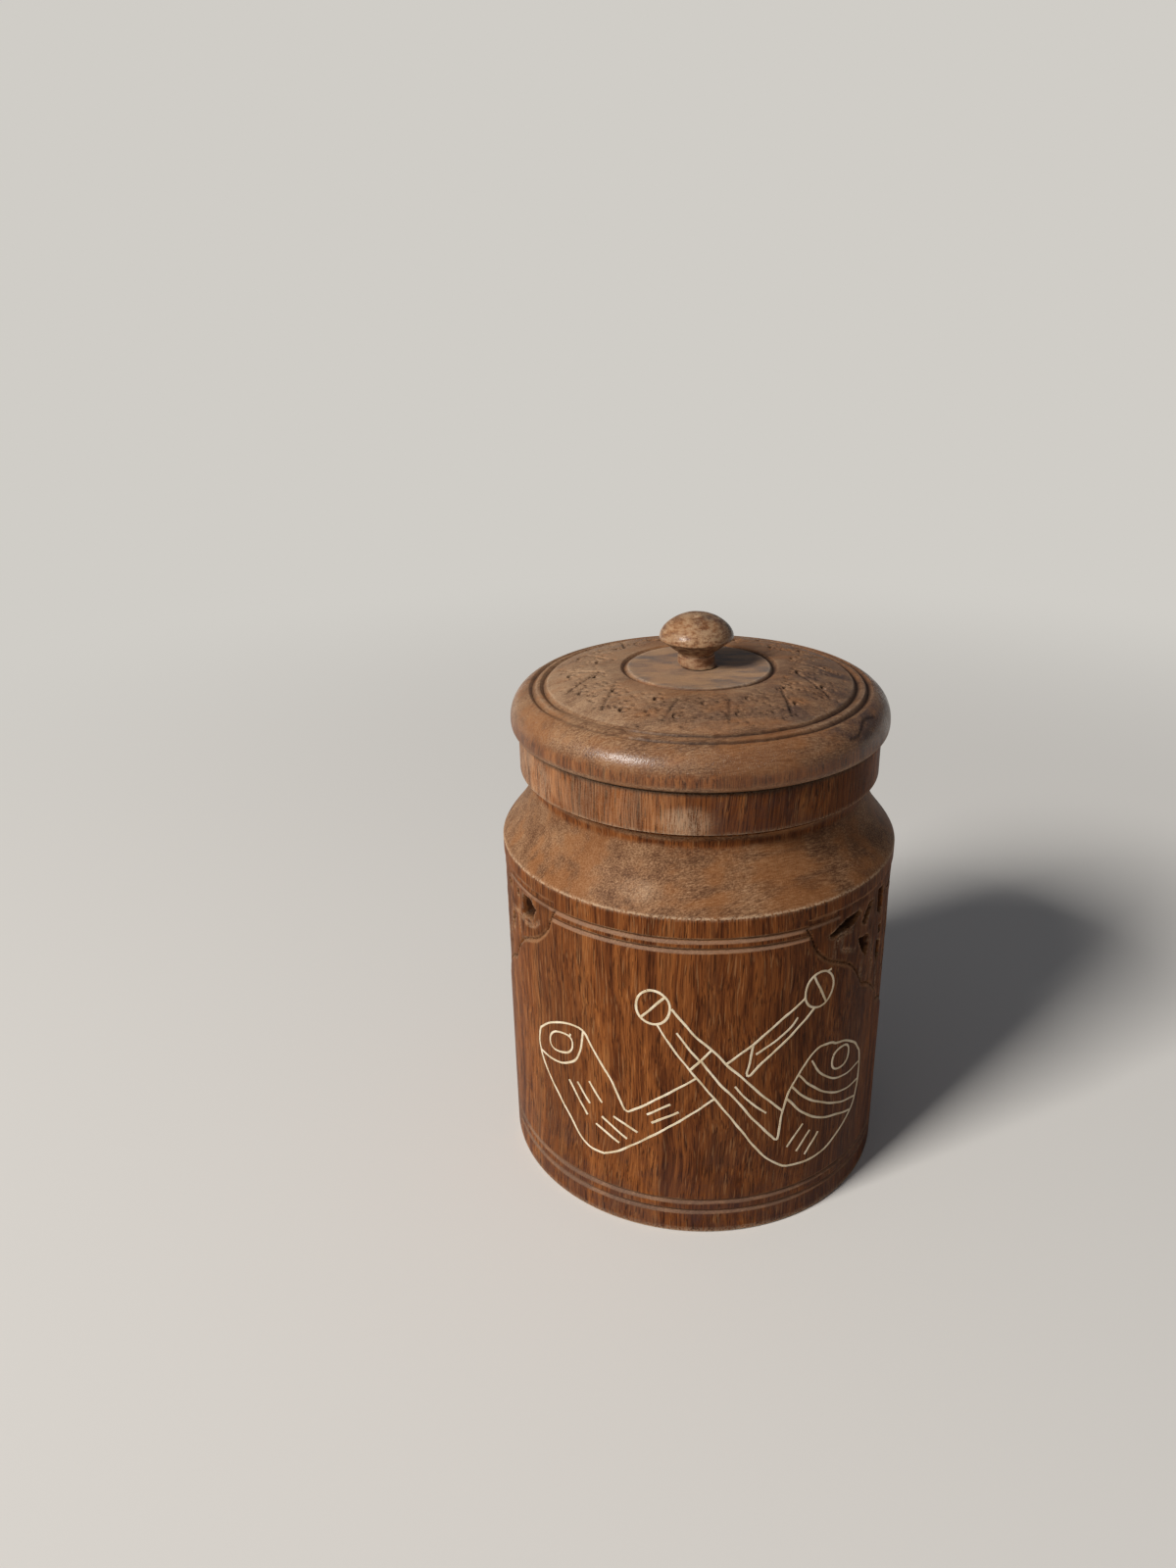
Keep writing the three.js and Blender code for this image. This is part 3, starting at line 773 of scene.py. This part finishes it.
# The drawing: each strip is a list of the (u, v) that its centre line runs through, with v
# up from the middle of the plain wall
LEFT_PIPE = {
    "bowl_rim_far": [(-52.8, 3.4), (-48, 7.2), (-43, 9.6), (-39, 10.8), (-35.4, 10.8)],
    "bowl_rim_near": [
        (-52.6, -6.2), (-48, -6.4), (-42.5, -5), (-38, -1.8), (-35.8, 2.4), (-34.9, 7.2),
    ],
    "bowl_outer_side": [
        (-54.2, 1.4), (-54.7, -4), (-52, -10.5), (-45.8, -18.2), (-39.8, -25.4), (-36, -30.5),
        (-32.6, -32.4), (-28.8, -32.8),
    ],
    "bowl_inner_side": [(-33.7, 9.8), (-29.3, 2.8), (-24.7, -4), (-20.9, -12.6)],
    "shank_underside": [
        (-27.2, -32.4), (-23.4, -30.2), (-16.4, -24.6), (-8.3, -18), (-0.5, -11.6), (4.7, -7.2),
    ],
    "shank_top": [(-19.8, -14), (-16.3, -11.6), (-8.4, -5.4), (0, 0.9)],
    "stem_top": [(10.6, 7.2), (13.4, 9.4), (17.6, 12.5), (24.8, 18.4), (32.4, 23.6)],
    "stem_underside": [(16.7, 1.4), (20.8, 5.8), (27.3, 11.2), (33.8, 16.8), (36.3, 19.1)],
    "stem_end": [(17.5, 11.1), (16.9, 6.8), (15.9, 2.3)],
    "stem_line": [(18.6, 9), (25, 12.8), (29.4, 16), (31.6, 18.8)],
    "bowl_dash_1": [(-40.6, -10.2), (-33.6, -20.2)],
    "bowl_dash_2": [(-37.2, -9.4), (-32.6, -15.4)],
    "bowl_dash_3": [(-32.7, -7.2), (-28.2, -13.4)],
    "heel_dash_1": [(-30.5, -22.2), (-22.4, -26.5)],
    "heel_dash_2": [(-28.3, -18.6), (-19.8, -24.1)],
    "heel_dash_3": [(-24.2, -17), (-16.4, -20.6)],
    "shank_dash_1": [(-13.4, -13.2), (-6.3, -8.2)],
    "shank_dash_2": [(-12, -16), (-3.8, -10.8)],
    "mouthpiece_bar": [(37.4, 29.8), (41, 22.6)],
}
RIGHT_PIPE = {
    "stem_top": [
        (-5.4, 24.4), (-2.8, 21), (1.2, 16), (6.4, 11), (9.8, 6.6), (15.5, 0.5), (19.4, -4.2),
        (26.2, -11.6),
    ],
    "stem_underside": [
        (-9.6, 18.2), (-6.4, 12.8), (-1, 5), (6.8, -5.8), (14.2, -16.8), (20.1, -26),
        (24.4, -31.2), (28.4, -34.4),
    ],
    "stem_line": [(-4.6, 17.4), (-1.6, 12.8), (0.9, 9.5)],
    "shank_line": [
        (3.4, 6.6), (8, -0.2), (13.2, -6.6), (17.8, -13.4), (23.6, -20.8), (26.2, -24.2),
    ],
    "stem_band": [(4.9, 11), (0.3, 5.7)],
    "shank_dash": [(12.6, -1.6), (16.6, -7), (22.6, -13)],
    "bowl_inner_side": [
        (27.1, -23.2), (27.3, -19.8), (28.2, -13.4), (30.2, -6.6), (33.2, -1.8), (36.8, 2.9),
        (40.6, 5.2), (45.4, 4.8),
    ],
    "bowl_rim_far": [(46.8, 3.8), (52.4, 2.1), (57.6, -1.4), (60.4, -5)],
    "bowl_outer_side": [
        (61.4, -7.2), (61.9, -13.6), (61.2, -20.4), (58.9, -26.2), (50.2, -33), (44.2, -35.8),
        (36.8, -36.4), (29.8, -35.3),
    ],
    "bowl_arc_1": [(37.8, 1.4), (40.8, -3.8), (47.2, -9.2), (53.8, -11), (60.3, -10.6)],
    "bowl_arc_2": [(34, -3.2), (37.6, -7.4), (45.6, -13.8), (53.6, -16.8), (60.5, -17.2)],
    "bowl_arc_3": [(31.5, -6.4), (36.2, -11.6), (43.6, -16.6), (51.2, -20.4), (59.1, -22.8)],
    "bowl_arc_4": [(30.2, -10.6), (35.4, -16.8), (42.8, -22), (49.2, -24.2), (56.8, -26.8)],
    "heel_dash_1": [(35.7, -21.2), (30.2, -28)],
    "heel_dash_2": [(38.6, -24.8), (33.8, -31)],
    "heel_dash_3": [(42.2, -27), (37.1, -33.6)],
    "mouthpiece_bar": [(-14.6, 21.9), (-8.7, 28.5)],
}
# Rings: centre u and v, half width, half height, degrees to where the ends meet, a power
# of 1 for an ellipse or less for a squarer ring, how far the first end overshoots, the rise
# to the right, and which way round it runs
RINGS = {
    "left_pipe_bowl_hole": (-43.8, 2.1, 5.1, 3.65, 44, 0.85, (0.4, 1.3), 0.3, -1),
    "left_pipe_mouthpiece": (39.1, 26, 5.3, 6, 60, 1, (1.5, 0.2), 0, 1),
    "right_pipe_bowl_hole": (50.4, -2.9, 4, 3.8, 150, 0.85, (0, 0), 0, 1),
    "right_pipe_mouthpiece": (-11.6, 25.2, 5, 5.7, 110, 1, (0, 0), 0, 1),
}
# Corners where two or three strips meet end to end
CORNERS = np.array([
    (-34.4, 10.4), (-53.8, 2.4), (-28, -32.7), (-20.3, -13.4), (16.3, 1.6), (29.1, -34.9),
    (26.8, -24), (46.1, 4.4), (61.1, -6),
])
CORNER_REACH = 3.3


def ring_line(u, v, half_width, half_height, joint_degrees, power, tail, slant, way):
    """The centre line of a ring, from its joint round to its joint again."""
    gap = RING_END_GAP / (half_width + half_height)
    turn = math.radians(joint_degrees) + way * np.linspace(gap, 2 * math.pi - gap, 56)
    across, up = np.cos(turn), np.sin(turn)
    across, up = (np.sign(share) * np.abs(share) ** power for share in (across, up))
    up = half_height * up + slant * half_width * across
    line = np.stack([u + half_width * across, v + up], 1)
    return np.vstack([line[0] + tail, line]) if any(tail) else line


def meet(name, line, others):
    """Lets both ends of a strip run on to a corner of the drawing, or to a neighbour ahead."""
    reach = next((length for word, length in REACHES if word in name), STRIP_REACH)
    out = line.copy()
    for end, before in ((0, 1), (-1, -2)):
        gaps = np.hypot(*(CORNERS - line[end]).T)
        if gaps.min() < CORNER_REACH:
            out[end] = CORNERS[gaps.argmin()]
            continue
        way = line[end] - line[before]
        way /= np.linalg.norm(way)
        rest = others - line[end]
        ahead = rest @ way
        aside = np.abs(rest[:, 0] * way[1] - rest[:, 1] * way[0])
        met = ahead[(ahead > 0) & (ahead < reach) & (aside < 0.6)]
        if len(met):
            out[end] += met.min() * way
    return out


def strip(name, line, seed):
    """A thin bar let into the wall along a flat line, its top edges slightly rounded."""
    random = np.random.default_rng(seed)
    phase = random.uniform(0, 6, 3)
    run = np.concatenate([[0], np.cumsum(np.hypot(*np.diff(line, axis=0).T))])
    way = np.gradient(line, axis=0)
    way /= np.linalg.norm(way, axis=1)[:, None]
    aside = np.stack([-way[:, 1], way[:, 0]], 1)
    inner = BODY_R - STRIP_DEPTH
    outer = BODY_R + STRIP_PROUD + PROUD_STEP * (seed % 4)
    vertices, rows = [], []
    for place, across, along in zip(line, aside, run):
        place = place + across * STRIP_WAVER * math.sin(0.8 * along + phase[0])
        broad = 0.07 * math.sin(0.55 * along + phase[1])
        half = STRIP_WIDTH * (1 + broad + 0.04 * math.sin(1.9 * along + phase[2])) / 2
        section = (
            (-half, inner), (-half, outer - STRIP_BEVEL), (STRIP_BEVEL - half, outer),
            (half - STRIP_BEVEL, outer), (half, outer - STRIP_BEVEL), (half, inner),
        )
        rows.append(range(len(vertices), len(vertices) + len(section)))
        for offset, radius in section:
            u, v = place + across * offset
            turn = u / BODY_R
            vertices.append((radius * math.sin(turn), -radius * math.cos(turn), DRAWING_Z + v))
    faces = [tuple(rows[0])[::-1], *skin(rows), tuple(rows[-1])]
    obj = mesh_object(f"strip_{name}", vertices, faces, {})
    turn_outwards(obj.data)
    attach(obj, "jar")
    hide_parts(f"inlay_{name}")
    return obj


def turn_outwards(mesh):
    """Turns every face of a closed mesh outwards."""
    work = bmesh.new()
    work.from_mesh(mesh)
    bmesh.ops.recalc_face_normals(work, faces=work.faces)
    work.to_mesh(mesh)
    work.free()


def ink(red, green, blue):
    """A colour given as it shows on screen, 11 to 255, as Blender's linear colour."""
    return *(((c / 255 + 0.055) / 1.055) ** 2.4 for c in (red, green, blue)), 1


class Nodes:
    """A node tree with short calls to add nodes, so that a pattern reads as a formula."""

    def __init__(self, owner):
        owner.use_nodes = True
        self.tree = owner.node_tree
        self.tree.nodes.clear()

    def add(self, kind, *values, **settings):
        """Adds a node with its settings and fills its first inputs in order."""
        node = self.tree.nodes.new("ShaderNode" + kind)
        for key, value in settings.items():
            setattr(node, key, value)
        for socket, value in zip(node.inputs, values):
            self.put(socket, value)
        return node

    def fill(self, node, **values):
        """Fills a node's inputs by their names, in which _ stands for a space."""
        for key, value in values.items():
            self.put(node.inputs[key.replace("_", " ")], value)

    def put(self, socket, value):
        """Links a socket to another, or to a node's first output, or gives it a value."""
        if isinstance(value, bpy.types.Node):
            value = value.outputs[0]
        if isinstance(value, bpy.types.NodeSocket):
            self.tree.links.new(value, socket)
        else:
            socket.default_value = value

    def math(self, operation, *values):
        return self.add("Math", *values, operation=operation)

    def times(self, low, high):
        return self.math("MULTIPLY", low, high)


class Shader(Nodes):
    """A material's nodes, with place as the object's own coordinates."""

    def __init__(self, name):
        self.material = bpy.data.materials.new(name)
        super().__init__(self.material)
        self.coordinates = self.add("TexCoord")
        self.place = self.coordinates.outputs["Object"]

    def total(self, *parts):
        """The sum of parts given as (weight, value)."""
        out = 0.0
        for weight, value in parts:
            out = self.math("MULTIPLY_ADD", value, weight, out)
        return out

    def span(self, *values):
        """A value from low to high becomes a smooth rise from 0 to 1, or between two more."""
        return self.add("MapRange", *values, interpolation_type="SMOOTHSTEP")

    def vector(self, operation, *values):
        return self.add("VectorMath", *values, operation=operation)

    def noise(self, scale, detail, shift=(0, 0, 0), place=None, rough=0.55, output="Fac"):
        """Noise whose features are about 1/scale metres apart along each axis."""
        stretched = self.add("Mapping", place or self.place, shift, (0, 0, 0), scale)
        node = self.add("TexNoise")
        self.fill(node, Vector=stretched, Scale=1, Detail=detail, Roughness=rough)
        return node.outputs[output]

    def mark(self, name):
        return self.add("Attribute", attribute_name=name).outputs["Fac"]

    def broken(self, name, *span):
        """A mark of the mesh, broken up by a span."""
        return self.times(self.mark(name), self.span(*span))

    def tinted(self, colour, *tints):
        """A colour under tints, each given as a value, its strength and the tint's colour."""
        for value, strength, tint in tints:
            colour = self.mix(self.times(value, strength), colour, tint)
        return colour

    def mix(self, share, low, high):
        node = self.add("Mix", share, data_type="RGBA")
        self.put(node.inputs[6], low)
        self.put(node.inputs[7], high)
        return node.outputs[2]

    def ramp(self, value, stops):
        """A value turned to colour by stops, each with its position, red, green and blue."""
        node = self.add("ValToRGB", value)
        elements = node.color_ramp.elements
        while len(elements) < len(stops):
            elements.new(0.5)
        for element, (position, *colour) in zip(elements, stops):
            element.position = position
            element.color = ink(*colour)
        return node

    def finish(self, colour, roughness, height, bump_distance, bump_strength, specular):
        """Joins colour, roughness and bump to the surface and returns the material."""
        bump = self.add("Bump")
        self.fill(bump, Strength=bump_strength, Distance=bump_distance, Height=height)
        surface = self.add("BsdfPrincipled")
        surface.inputs["Specular IOR Level"].default_value = specular
        self.fill(surface, Base_Color=colour, Roughness=roughness, Normal=bump)
        self.add("OutputMaterial", surface)
        return self.material


# How much paler every piece is painted towards its left, the side the light falls on: painted
# light
LEFT_SIDE_PAINTED_LIGHT = 0.05
LONG_GRAIN = [(0.0, 50, 26, 14), (0.3, 90, 48, 24), (0.65, 132, 77, 38), (1.0, 172, 112, 62)]
END_GRAIN = [(0.0, 84, 55, 38), (0.35, 113, 80, 56), (0.70, 139, 102, 73), (1.0, 166, 130, 97)]
DISC_GREY = [(0.0, 206, 168, 132), (0.55, 176, 148, 124), (1.0, 120, 120, 118)]
BONE = [(0.0, 192, 170, 134), (0.5, 216, 200, 170), (1.0, 232, 218, 192)]
END_ORANGE = ink(138, 87, 48)
STREAK = ink(52, 31, 24)
PORE = ink(42, 22, 12)
FLECK = ink(176, 130, 88)
DUST_AND_LIGHT_COLOUR = ink(138, 107, 87)
PALE_WEAR_AND_LIGHT = ink(212, 182, 150)
STAIN_AND_SHADE_COLOUR = ink(62, 48, 47)
DIRT_AND_SHADE_COLOUR = ink(34, 18, 11)
KNOB_PALE = ink(184, 152, 118)
KNOB_DARK = ink(98, 62, 40)
BONE_GRIME = ink(150, 118, 86)
BONE_PAINTED_SHADE = ink(178, 146, 108)
BACKGROUND = ink(208, 205, 199)
FLOOR_COLOUR = ink(224, 220, 214)
SKY_COLOUR = ink(236, 240, 250)
RING_SCALE = 420
# How far the grain wanders, and how high the bumps are, in metres
WARP_REACH = (0.009, 0.009, 0.0)
WOOD_BUMP = 0.00016
BONE_BUMP = 0.00005


def wood(name, shift, pith, ring_lean, lift, mottled, specular, tint=None):
    """Solid wood with its grain along Z: streaks on upright faces, end grain on level ones.

    Growth rings run round the pith, and fine lines lean across the end grain by ring_lean
    degrees. lift makes the piece paler, mottled is how much of the end grain shows on its
    upright faces too, and tint is a function that colours the wood further."""
    s = Shader(name)
    warp = s.noise((24, 24, 15), 2.0, shift, output="Color")
    centred = s.vector("SUBTRACT", warp, (0.5, 0.5, 0.5))
    place = s.vector("MULTIPLY_ADD", centred, WARP_REACH, s.place)
    x, y, _ = s.add("SeparateXYZ", place).outputs
    across_x, across_y = s.math("SUBTRACT", x, pith[0]), s.math("SUBTRACT", y, pith[1])
    square = s.math("MULTIPLY_ADD", across_x, across_x, s.times(across_y, across_y))
    rings = s.add("TexNoise", noise_dimensions="1D")
    s.fill(rings, W=s.math("SQRT", square), Scale=RING_SCALE, Detail=3)

    fibre = s.noise((1500, 1500, 34), 3.0, shift, place)
    thread = s.noise((3200, 3200, 90), 2.0, shift, place)
    band = s.noise((300, 300, 11), 3.0, shift, place)
    zone = s.noise((48, 48, 6), 2.0, shift)
    lines = s.span(s.noise((1300, 1300, 16), 2.0, (8, 2, 5), place), 0.50, 0.64)
    pore = s.span(s.noise((2000, 2000, 110), 2.0, (5, 3, 1), place), 0.57, 0.63)
    fleck = s.span(s.noise((1700, 1700, 90), 1.0, (2, 9, 4), place), 0.62, 0.70)
    # Paler towards the left, where the light falls: painted light, added to the piece's own lift
    lift_and_left_painted_light = s.math("MULTIPLY_ADD", s.span(x, -0.050, 0.006, 1, 0), LEFT_SIDE_PAINTED_LIGHT, lift)
    tone = s.total(
        (0.26, fibre), (0.27, thread), (0.41, band), (0.16, rings.outputs["Fac"]), (1.0, lift_and_left_painted_light),
    )
    dark_zone = s.span(s.total((0.5, band), (0.5, zone)), 0.49, 0.60)
    streaky = s.math("MULTIPLY_ADD", dark_zone, 0.40, 0.14)
    upright = s.tinted(
        s.ramp(s.span(tone, 0.33, 0.81), LONG_GRAIN), (dark_zone, 0.36, STREAK),
        (lines, streaky, STREAK), (pore, 0.7, PORE), (fleck, 0.25, FLECK),
    )

    turned_place = s.add("VectorRotate", place, rotation_type="Z_AXIS")
    s.fill(turned_place, Angle=math.radians(-ring_lean))
    arc = s.noise((420, 2500, 2500), 2.0, shift, turned_place)
    broad_arc = s.noise((34, 250, 250), 2.0, (4, 6, 2), turned_place)
    speck = s.noise((2400, 2400, 2400), 2.0, shift, None, 0.65)
    cloud = s.noise((110, 110, 110), 3.0, shift, place, 0.6)
    level = s.total((0.27, speck), (0.47, arc), (0.24, cloud), (0.24, broad_arc), (0.75, lift_and_left_painted_light))
    orange = s.span(s.total((0.6, zone), (0.4, broad_arc)), 0.46, 0.60, 0.0, 0.55)
    flat = s.mix(orange, s.ramp(s.span(level, 0.44, 0.80), END_GRAIN), END_ORANGE)
    flat = s.tinted(flat, (s.span(speck, 0.62, 0.72), 0.18, PORE))

    normal = s.add("SeparateXYZ", s.coordinates.outputs["Normal"])
    steep = s.math("ABSOLUTE", normal.outputs[2])
    end = s.span(s.total((1.0, steep), (0.3, cloud)), 0.20, 0.52, mottled, 1.0)
    grit = s.noise((1500, 1500, 1500), 3.0, shift)
    wear = s.broken("wear", grit, 0.34, 0.60)
    rub = s.broken("rub", s.total((0.4, thread), (0.3, cloud), (0.3, speck)), 0.36, 0.60)
    stain = s.broken("stain", s.math("MULTIPLY_ADD", grit, 0.3, cloud), 0.48, 0.76)
    # This mark holds real dirt and also painted shade in creases, gaps and hollows
    dirt = s.broken("dirt", grit, 0.10, 0.42)
    colour = s.mix(end, upright, flat)
    # Dust, and painted light on the up-facing groove faces and the knob's neck
    colour = s.mix(s.broken("dust", speck, 0.15, 0.4, 0.0, 0.66), colour, DUST_AND_LIGHT_COLOUR)
    colour = s.tinted(
        colour, (wear, 0.55, PALE_WEAR_AND_LIGHT), (rub, 0.42, PALE_WEAR_AND_LIGHT), (stain, 0.8, STAIN_AND_SHADE_COLOUR), (dirt, 0.92, DIRT_AND_SHADE_COLOUR),
    )
    if tint:
        colour = tint(s, colour)

    matt = s.math("MAXIMUM", dirt, wear)
    roughness = s.total((0.14, cloud), (0.22, matt), (0.34, 1.0), (0.05, end))
    roughness = s.math("SUBTRACT", roughness, s.broken("polish", cloud, 0.40, 0.62, 0.12, 0.24))
    height = s.total((0.5, fibre), (0.5, speck), (0.3, arc), (-0.5, pore))
    return s.finish(colour, roughness, height, WOOD_BUMP, 0.6, specular)


def smear_disc(s, colour):
    """Grey and pale smears on the lid's middle disc."""
    smear = s.noise((60, 160, 90), 5.0, (2, 6, 1), None, 0.65)
    grey = s.ramp(s.span(smear, 0.38, 0.62), DISC_GREY)
    return s.tinted(colour, (s.mark("disc"), 0.46, grey))


def patch_knob(s, colour):
    """Pale and dark patches on the knob."""
    patch = s.noise((400, 300, 900), 4.0, (3, 3, 8), None, 0.65)
    colour = s.mix(s.span(patch, 0.40, 0.66, 0.0, 0.55), colour, KNOB_PALE)
    return s.mix(s.span(patch, 0.34, 0.50, 0.6, 0.0), colour, KNOB_DARK)


def inlay_material():
    """Pale bone, faintly streaked, with a little grime, and painted shade on the jar's right."""
    s = Shader("inlay")
    cloud = s.noise((240, 240, 240), 3.0)
    grain = s.noise((2600, 2600, 2600), 3.0)
    colour = s.ramp(s.span(s.total((0.7, cloud), (0.3, grain)), 0.3, 0.7), BONE)
    grime = s.span(s.noise((900, 900, 900), 2.0, (4, 1, 2)), 0.62, 0.76)
    colour = s.tinted(colour, (grime, 0.45, BONE_GRIME))
    x = s.add("SeparateXYZ", s.place)
    # Darker towards the jar's right, away from the light: painted shade
    colour = s.mix(s.span(x, 0.0, 0.055, 0.0, 0.4), colour, BONE_PAINTED_SHADE)
    return s.finish(colour, s.total((0.2, grain), (0.42, 1.0)), grain, BONE_BUMP, 0.5, 0.4)


def dress(obj, material, body, node):
    """Gives an object its material and body, and hides the imported part named node."""
    obj.data.materials.append(material)
    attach(obj, body)
    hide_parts(node)


def full_turn(columns):
    return np.linspace(-math.pi, math.pi, columns, endpoint=False)


jar = turned("jar_turned", jar_outline(), spaced(JAR_COLUMNS), deform_jar)
jar_wood = wood(
    "jar_wood", shift=(3.1, 1.7, 5.2), pith=(-0.012, 0.046), ring_lean=28, lift=0, mottled=0,
    specular=0.03,
)
dress(jar, jar_wood, "jar", "jar")

lid = turned("lid_turned", lid_outline(), full_turn(LID_COLUMNS), deform_lid)
lid_wood = wood(
    "lid_wood", shift=(7.4, 2.3, 0.6), pith=(-0.055, 0.070), ring_lean=18, lift=0.045,
    mottled=0.15, specular=0.28, tint=smear_disc,
)
dress(lid, lid_wood, "lid", "lid")

knob = turned("knob_turned", knob_outline(), full_turn(KNOB_COLUMNS), deform_knob)
knob_wood = wood(
    "knob_wood", shift=(1.4, 8.3, 2.6), pith=(-0.002, 0.014), ring_lean=-12, lift=0.09,
    mottled=0.6, specular=0.24, tint=patch_knob,
)
dress(knob, knob_wood, "lid", "knob")

inlay = inlay_material()
drawn = {f"{pipe}_{name}": spline(points, STRIP_STEP)
         for pipe, strips in (("left_pipe", LEFT_PIPE), ("right_pipe", RIGHT_PIPE))
         for name, points in strips.items()}
strips = drawn | {name: ring_line(*ring) for name, ring in RINGS.items()}
for seed, (name, line) in enumerate(strips.items()):
    if name in drawn:
        others = [other for key, other in strips.items() if key != name]
        line = meet(name, line, np.vstack(others))
    strip(name, line, seed).data.materials.append(inlay)

# Camera: where the photograph was taken from, looking down and a little to the left, with
# its yaw, pitch and roll in degrees
CAMERA_PLACE = (0.0, -343.2, 275.7)
CAMERA_TURN = (-5.77, 23.61, -1.41)
IMAGE_HEIGHT = 1600
FOCAL_PIXELS = 1200
SENSOR = 36
CLIP = (0.01, 50)


def make_camera():
    """The photograph's camera."""
    data = bpy.data.cameras.new("camera")
    data.sensor_fit = "AUTO"
    data.sensor_width = SENSOR
    data.lens = SENSOR * FOCAL_PIXELS / IMAGE_HEIGHT
    data.clip_start, data.clip_end = CLIP
    camera = linked("camera", data)
    yaw, pitch, roll = (math.radians(degrees) for degrees in CAMERA_TURN)
    ahead = math.cos(pitch)
    forward = Vector((math.sin(yaw) * ahead, math.cos(yaw) * ahead, -math.sin(pitch)))
    level = Vector((math.cos(yaw), -math.sin(yaw), 0))
    above = level.cross(forward)
    right = math.cos(roll) * level + math.sin(roll) * above
    up = math.cos(roll) * above - math.sin(roll) * level
    turn = Matrix((right, up, -forward)).transposed().to_4x4()
    camera.matrix_world = Matrix.Translation(Vector(CAMERA_PLACE) * MM) @ turn
    bpy.context.scene.camera = camera


# Floor and light, in metres; the floor fades into the background between two distances
FLOOR_REACH = 6
FLOOR_DROP = 0.0002
FLOOR_FADE = (0.24, 0.8)
KEY_DIRECTION = (-0.60, -0.54, 0.60)
KEY_AIM = (0, 0, 0.09)
KEY_DISTANCE = 3.5
KEY_SIZE = 0.98
KEY_LEVEL = 1.2
KEY_COLOUR = (1, 0.985, 0.96)
SKY_LEVEL = 0.13


def make_floor():
    """A plain pale floor that fades into the background."""
    mesh = bpy.data.meshes.new("floor")
    far = FLOOR_REACH
    corners = [(-far, -far, 0), (far, -far, 0), (far, far, 0), (-far, far, 0)]
    mesh.from_pydata(corners, [], [(0, 1, 2, 3)])
    floor = linked("floor", mesh)
    floor.location.z = -FLOOR_DROP
    s = Shader("floor")
    away = s.add("VectorMath", s.place, operation="LENGTH").outputs["Value"]
    seen = s.add("LightPath").outputs
    shown = s.math("MAXIMUM", seen["Is Camera Ray"], seen["Is Glossy Ray"])
    matt, glow = s.add("BsdfDiffuse", FLOOR_COLOUR), s.add("Emission", BACKGROUND)
    share = s.times(s.span(away, *FLOOR_FADE), shown)
    both = s.add("MixShader", share, matt, glow)
    s.add("OutputMaterial", both)
    mesh.materials.append(s.material)


def make_world():
    """Even light all round, and a plain background."""
    world = bpy.data.worlds.new("world")
    bpy.context.scene.world = world
    s = Nodes(world)
    light = s.add("Background", SKY_COLOUR, SKY_LEVEL)
    backdrop = s.add("Background", BACKGROUND, 1)
    seen = s.add("LightPath").outputs
    either = s.math("MAXIMUM", seen["Is Camera Ray"], seen["Is Transmission Ray"])
    both = s.add("MixShader", either, light, backdrop)
    s.add("OutputWorld", both)


def make_lamp():
    """A soft square lamp that faces the middle of the jar.

    At level 1 it shows a colour that faces it as the colour is written."""
    data = bpy.data.lights.new("key", "AREA")
    data.shape = "SQUARE"
    data.size = KEY_SIZE
    data.energy = KEY_LEVEL * (math.pi * KEY_DISTANCE) ** 2
    data.color = KEY_COLOUR
    lamp = linked("key", data)
    way = Vector(KEY_DIRECTION).normalized()
    lamp.location = Vector(KEY_AIM) + way * KEY_DISTANCE
    lamp.rotation_mode = "QUATERNION"
    lamp.rotation_quaternion = way.to_track_quat("Z", "Y")


make_camera()
make_floor()
make_world()
make_lamp()

bpy.context.scene.view_settings.view_transform = "Standard"
